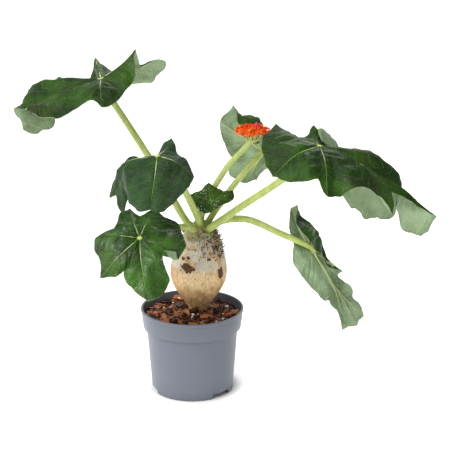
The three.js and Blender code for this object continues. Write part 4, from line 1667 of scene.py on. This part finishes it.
@dataclass
class FlowerHead:
    """The branched stem and its dense head of small orange-red flowers."""

    centre: Place = (75.5, 25, 328.5)
    size: Place = (19.5, 15, 9)
    stem_way: Sequence[Place] = ((7, 19, 213), (11, 23, 226), (44, 25, 284), (70, 25, 314))
    stem_end: Place = (74.5, 25, 322)
    base: float = 4.4
    top: float = 3
    florets: int = 44
    buds: int = 34
    branches: int = 9
    bud_outline: Outline = (
        (0.2, -2.2), (0.7, -1.6), (1.0, -0.4), (1.15, 0.8), (0.9, 1.9), (0.45, 2.7), (0.12, 3.1),
    )
    magenta_place: Place = (80, 19, 339.6)
    bract_foot: Place = (79, 14, 318.5)

    def petal(self) -> bpy.types.Object:
        """One rounded petal that arches outwards from its narrow foot."""
        petal = grid("petal", 4, 6)
        for vertex in petal.data.vertices:
            along = vertex.co.y + 0.5
            across = vertex.co.x * 2
            width = 0.95 * math.sin(math.pi * min(0.12 + 0.82 * along, 1)) ** 0.7
            reach = 0.5 + 4.1 * along
            lift = 3.2 * along - 1.5 * along * along + 0.35 * across * across
            vertex.co = Vector((across * width, reach, lift)) * MM
        return petal

    def floret(self) -> bpy.types.Object:
        """One open flower: five petals, a short tube and a tuft of stamens."""
        petal = self.petal()
        petals = [copied(petal, Matrix.Rotation(index * math.tau / 5, 4, "Z")) for index in range(5)]
        bpy.data.objects.remove(petal)
        flower = joined("floret", petals)
        apply_modifier(flower, "SOLIDIFY", thickness=0.22 * MM, offset=0)
        middle = [Vector((0, 0, height * MM)) for height in (-3.4, -1.6, 0.2, 0.7)]
        stamens = [tube("throat", middle, [0.7, 1.0, 1.25, 0.6], 1)]
        for index in range(5):
            angle = (index + 0.5) * math.tau / 5
            lean = Vector((math.cos(angle), math.sin(angle), 0)) * MM
            way = [lean * out + Vector((0, 0, up * MM)) for out, up in ((0.2, 0), (0.45, 1.6), (0.9, 2.9))]
            stamens.append(tube("stamen", way, [0.16, 0.14, 0.34], 1))
        return joined("floret", [flower, joined("middle", stamens)])

    def bud(self) -> bpy.types.Object:
        """One closed bud, pointed and five-ribbed."""
        bud = turned("bud", self.bud_outline, 10)
        for vertex in bud.data.vertices:
            ridge = 1 + 0.1 * math.cos(5 * math.atan2(vertex.co.y, vertex.co.x))
            vertex.co.x *= ridge
            vertex.co.y *= ridge
        return bud

    def strewn(
        self, kind: bpy.types.Object, name: str, count: int, spin: float, low: float,
        lift: tuple[float, float], scale: tuple[float, float],
    ) -> bpy.types.Object:
        """Copies one flower or bud evenly all over the head's upper side.

        Args:
            kind: What is copied.
            name: Name of the whole.
            count: Number of copies.
            spin: Turn of the first copy, in radians.
            low: Lowest direction, as the height of its unit vector.
            lift: Nearest and furthest place, as parts of the head's size.
            scale: Smallest and largest copy.

        Returns:
            All the copies as one piece.
        """
        draw = random.Random(count)
        copies = []
        for index in range(count):
            rise = 1 - (1 - low) * (index + 0.5) / count
            spread = math.sqrt(1 - rise * rise)
            around = index * GOLDEN_TURN + spin
            aim = Vector((spread * math.cos(around), spread * math.sin(around), rise))
            turn = (aim + Vector((0, 0, 0.3))).to_track_quat("Z", "Y").to_matrix().to_4x4()
            out = lift[0] + (lift[1] - lift[0]) * draw.random()
            at = Vector([c + a * (s - 2) * out for c, a, s in zip(self.centre, aim, self.size)]) * MM
            size = scale[0] + (scale[1] - scale[0]) * draw.random()
            twist = Matrix.Rotation(draw.random() * math.tau, 4, "Z")
            copies.append(copied(kind, Matrix.Translation(at) @ turn @ twist @ Matrix.Scale(size, 4)))
        bpy.data.objects.remove(kind)
        return joined(name, copies)

    def stem(self) -> bpy.types.Object:
        """The stem with the short branches that carry the head."""
        points = catmull([Vector(point) * MM for point in (*self.stem_way, self.stem_end)], 14)
        last = len(points) - 1
        radii = [self.base + (self.top - self.base) * index / last for index in range(last + 1)]
        parts = [tube("stem", points, radii, 6)]
        fork = Vector(self.stem_way[-1]) + Vector((0, 0, 1))
        for index in range(self.branches):
            turn = index * math.tau / self.branches + 0.3
            reach = 7.5 if index % 2 else 11
            out = Vector((math.cos(turn) * reach, math.sin(turn) * reach * 0.8, 0))
            end = Vector(self.centre) + out + Vector((0, 0, -1.5))
            knee = Vector(self.centre) + out * 0.62 + Vector((0, 0, -7.5))
            branch = catmull([point * MM for point in (fork, knee, end)], 8)
            parts.append(tube("branch", branch, [1.55 - 0.035 * step for step in range(len(branch))], 3))
        return joined("flower_stem", parts)

    def magenta_bud(self) -> bpy.types.Object:
        """The one large magenta bud, a little above the others."""
        single = self.bud()
        turn = Matrix.Rotation(math.radians(12), 4, "Y") @ Matrix.Scale(1.5, 4)
        bud = copied(single, Matrix.Translation(Vector(self.magenta_place) * MM) @ turn)
        bpy.data.objects.remove(single)
        bud.name = "magenta_bud"
        return bud

    def dark_bract(self) -> bpy.types.Object:
        """The small withered bract under the head's right side."""
        bract = grid("dark_bract", 4, 8)
        for vertex in bract.data.vertices:
            along, across = vertex.co.y + 0.5, vertex.co.x * 2
            half = across * 1.5 * math.sin(math.pi * (0.1 + 0.86 * along))
            way = Vector((6 * along + half * 0.3, -3 * along, half + 2 * along))
            vertex.co = (Vector(self.bract_foot) + way) * MM
        apply_modifier(bract, "SOLIDIFY", thickness=0.3 * MM, offset=0)
        return bract

    def build(self, green: bpy.types.Material) -> None:
        """Builds the stem, the flowers, the buds, the magenta bud and the bract.

        Args:
            green: Material of the stem.
        """
        finish_piece(self.stem(), [green], ["flower_stalk"])
        red = Petal("petal_orange_red", (0.64, 0.02, 0.003), (0.98, 0.3, 0.018)).material()
        bud_red = Petal("bud_red", (0.5, 0.01, 0.003), (0.9, 0.06, 0.006)).material()
        magenta = Petal("bud_magenta", (0.5, 0.01, 0.13), (0.8, 0.05, 0.3)).material()
        dark = Crumb("bract_brown", (0.02, 0.012, 0.008), (0.1, 0.05, 0.03), 300, roughness=0.6).material()
        flowers = self.strewn(self.floret(), "florets", self.florets, 0.0, 0.08, (0.74, 1.26), (0.8, 1.45))
        finish_piece(flowers, [red], ["flower_head"])
        buds = self.strewn(self.bud(), "flower_buds", self.buds, 1.1, 0.06, (0.95, 1.36), (0.8, 1.4))
        finish_piece(buds, [bud_red])
        finish_piece(self.magenta_bud(), [magenta])
        finish_piece(self.dark_bract(), [dark])


# Studio


@dataclass(frozen=True)
class Lamp:
    """A square area light aimed at the middle of the plant."""

    name: str
    place: Place
    size: float
    power: float
    target: Place = (0.05, 0, 0.25)

    def build(self) -> None:
        """Adds the light."""
        deselect()
        bpy.ops.object.light_add(type="AREA", location=self.place)
        light = named(self.name)
        light.data.shape = "SQUARE"
        light.data.size = self.size
        light.data.energy = self.power
        aim = Vector(self.target) - Vector(self.place)
        light.rotation_euler = aim.to_track_quat("-Z", "Y").to_euler()


@dataclass(frozen=True)
class Studio:
    """A plain pale floor, soft light and a camera at the photograph's viewing angle."""

    sun_from: Place = (-1.5, -0.8, 2.0)
    sun_strength: float = 2.4
    sun_spread: float = 75
    sky: float = 0.44
    floor_size: float = 30
    floor_glow: float = 0.5
    pot_radius: float = 60
    lamps: Sequence[Lamp] = (
        Lamp("key_light", (-1.3, -1.3, 1.6), 0.9, 19),
        Lamp("fill_light", (1.8, -1.2, 1.2), 1.2, 0.9),
        Lamp("back_light", (0.4, 1.8, 1.6), 1.4, 12),
    )
    camera_place: Place = (0.0416, -1.9, 0.823)
    camera_pitch: float = 72.3
    focal_length: float = 128
    sensor_width: float = 36

    def floor(self) -> None:
        """The pale floor, far larger than the view, which glows except under the pot; the unglowing disc
        there is a painted contact shadow.
        """
        deselect()
        bpy.ops.mesh.primitive_plane_add(size=self.floor_size, location=(0, 0, 0))
        floor = named("studio_floor")
        shade = Shade("studio_paper")
        colour = shade.blend(shade.noise(2), (0.92, 0.92, 0.92), (0.94, 0.94, 0.94))
        # Painted shadow: the glow is cut out under the pot and fades back in just round its foot.
        pot_shadow_mask = shade.spot((0, 0, 0), (self.pot_radius,) * 3, 0.14, 0)
        glow = shade.blend(pot_shadow_mask, (1, 1, 1), (0, 0, 0))
        paper = shade.finish(colour, 0.9, Emission_Color=glow, Emission_Strength=self.floor_glow)
        floor.data.materials.append(paper)
        floor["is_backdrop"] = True

    def sun(self) -> None:
        """A broad soft sun that lights the floor evenly."""
        deselect()
        bpy.ops.object.light_add(type="SUN", location=self.sun_from)
        light = named("key_sun")
        light.data.energy = self.sun_strength
        light.data.angle = math.radians(self.sun_spread)
        light.rotation_euler = (-Vector(self.sun_from)).to_track_quat("-Z", "Y").to_euler()

    def camera(self) -> None:
        """The camera, with a long lens."""
        deselect()
        pitch = math.radians(self.camera_pitch)
        bpy.ops.object.camera_add(location=self.camera_place, rotation=(pitch, 0, 0))
        camera = named("photo_camera")
        camera.data.lens = self.focal_length
        camera.data.sensor_width = self.sensor_width
        camera.data.clip_end = 2 * self.floor_size
        bpy.context.scene.camera = camera

    def build(self) -> None:
        """Sets the floor, the lights, the sky and the camera."""
        self.floor()
        self.sun()
        for lamp in self.lamps:
            lamp.build()
        world = bpy.data.worlds.new("studio_sky")
        bpy.context.scene.world = world
        world.use_nodes = True
        sky = world.node_tree.nodes["Background"]
        sky.inputs["Color"].default_value = (1, 1, 1, 1)
        sky.inputs["Strength"].default_value = self.sky
        bpy.context.scene.view_settings.view_transform = "Standard"
        self.camera()


def write_sizes() -> None:
    """Writes the CAD box and the visual model's box for comparison."""
    boxes = {"cad": CAD_BOX, "visual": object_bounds()}
    plain = {key: [list(low), list(high)] for key, (low, high) in boxes.items()}
    for key, corners in plain.items():
        LOG.info("%s box %s", key, corners)


def main() -> None:
    """Builds the studio, pot, soil, stem, leaves and flower in order."""
    logging.basicConfig(level=logging.INFO, format="%(name)s: %(message)s")
    Studio().build()
    NurseryPot().build()
    BarkSoil().build()
    SwollenStem().build()
    green = Sap("stalk_green", (0.31, 0.39, 0.085), (0.42, 0.5, 0.14)).material()
    vein = Sap("vein_green", (0.38, 0.45, 0.16), (0.55, 0.6, 0.28), roughness=0.5).material()
    under = LeafUnderside().material()
    usual = LeafTop()
    own = {
        "mid_left": LeafTop(
            "leaf_top_matte", deep=(0.004, 0.018, 0.004), bright=(0.015, 0.056, 0.01),
            roughness=0.5, specular=0.22,
        ),
        "lower_left": LeafTop(
            "leaf_top_lit", deep=(0.008, 0.036, 0.002), bright=(0.036, 0.112, 0.008),
            roughness=0.2, specular=0.3,
        ),
        # The young leaf's sparkle lays painted glints, white specks of painted highlight, on its top.
        "young": LeafTop(
            "young_leaf_top", deep=(0.01, 0.04, 0.002), bright=(0.07, 0.15, 0.006), hub=(0.1, 0.2, 0.03),
            roughness=0.2, vein_step=6, specular=0.2, sparkle=0.9,
        ),
    }
    tops = {finish.name: finish.material() for finish in (usual, *own.values())}
    for leaf in plant_leaves():
        leaf.build(tops[own.get(leaf.name, usual).name], under, vein, green)
    FlowerHead().build(green)
    write_sizes()


if __name__ == "__main__":
    main()
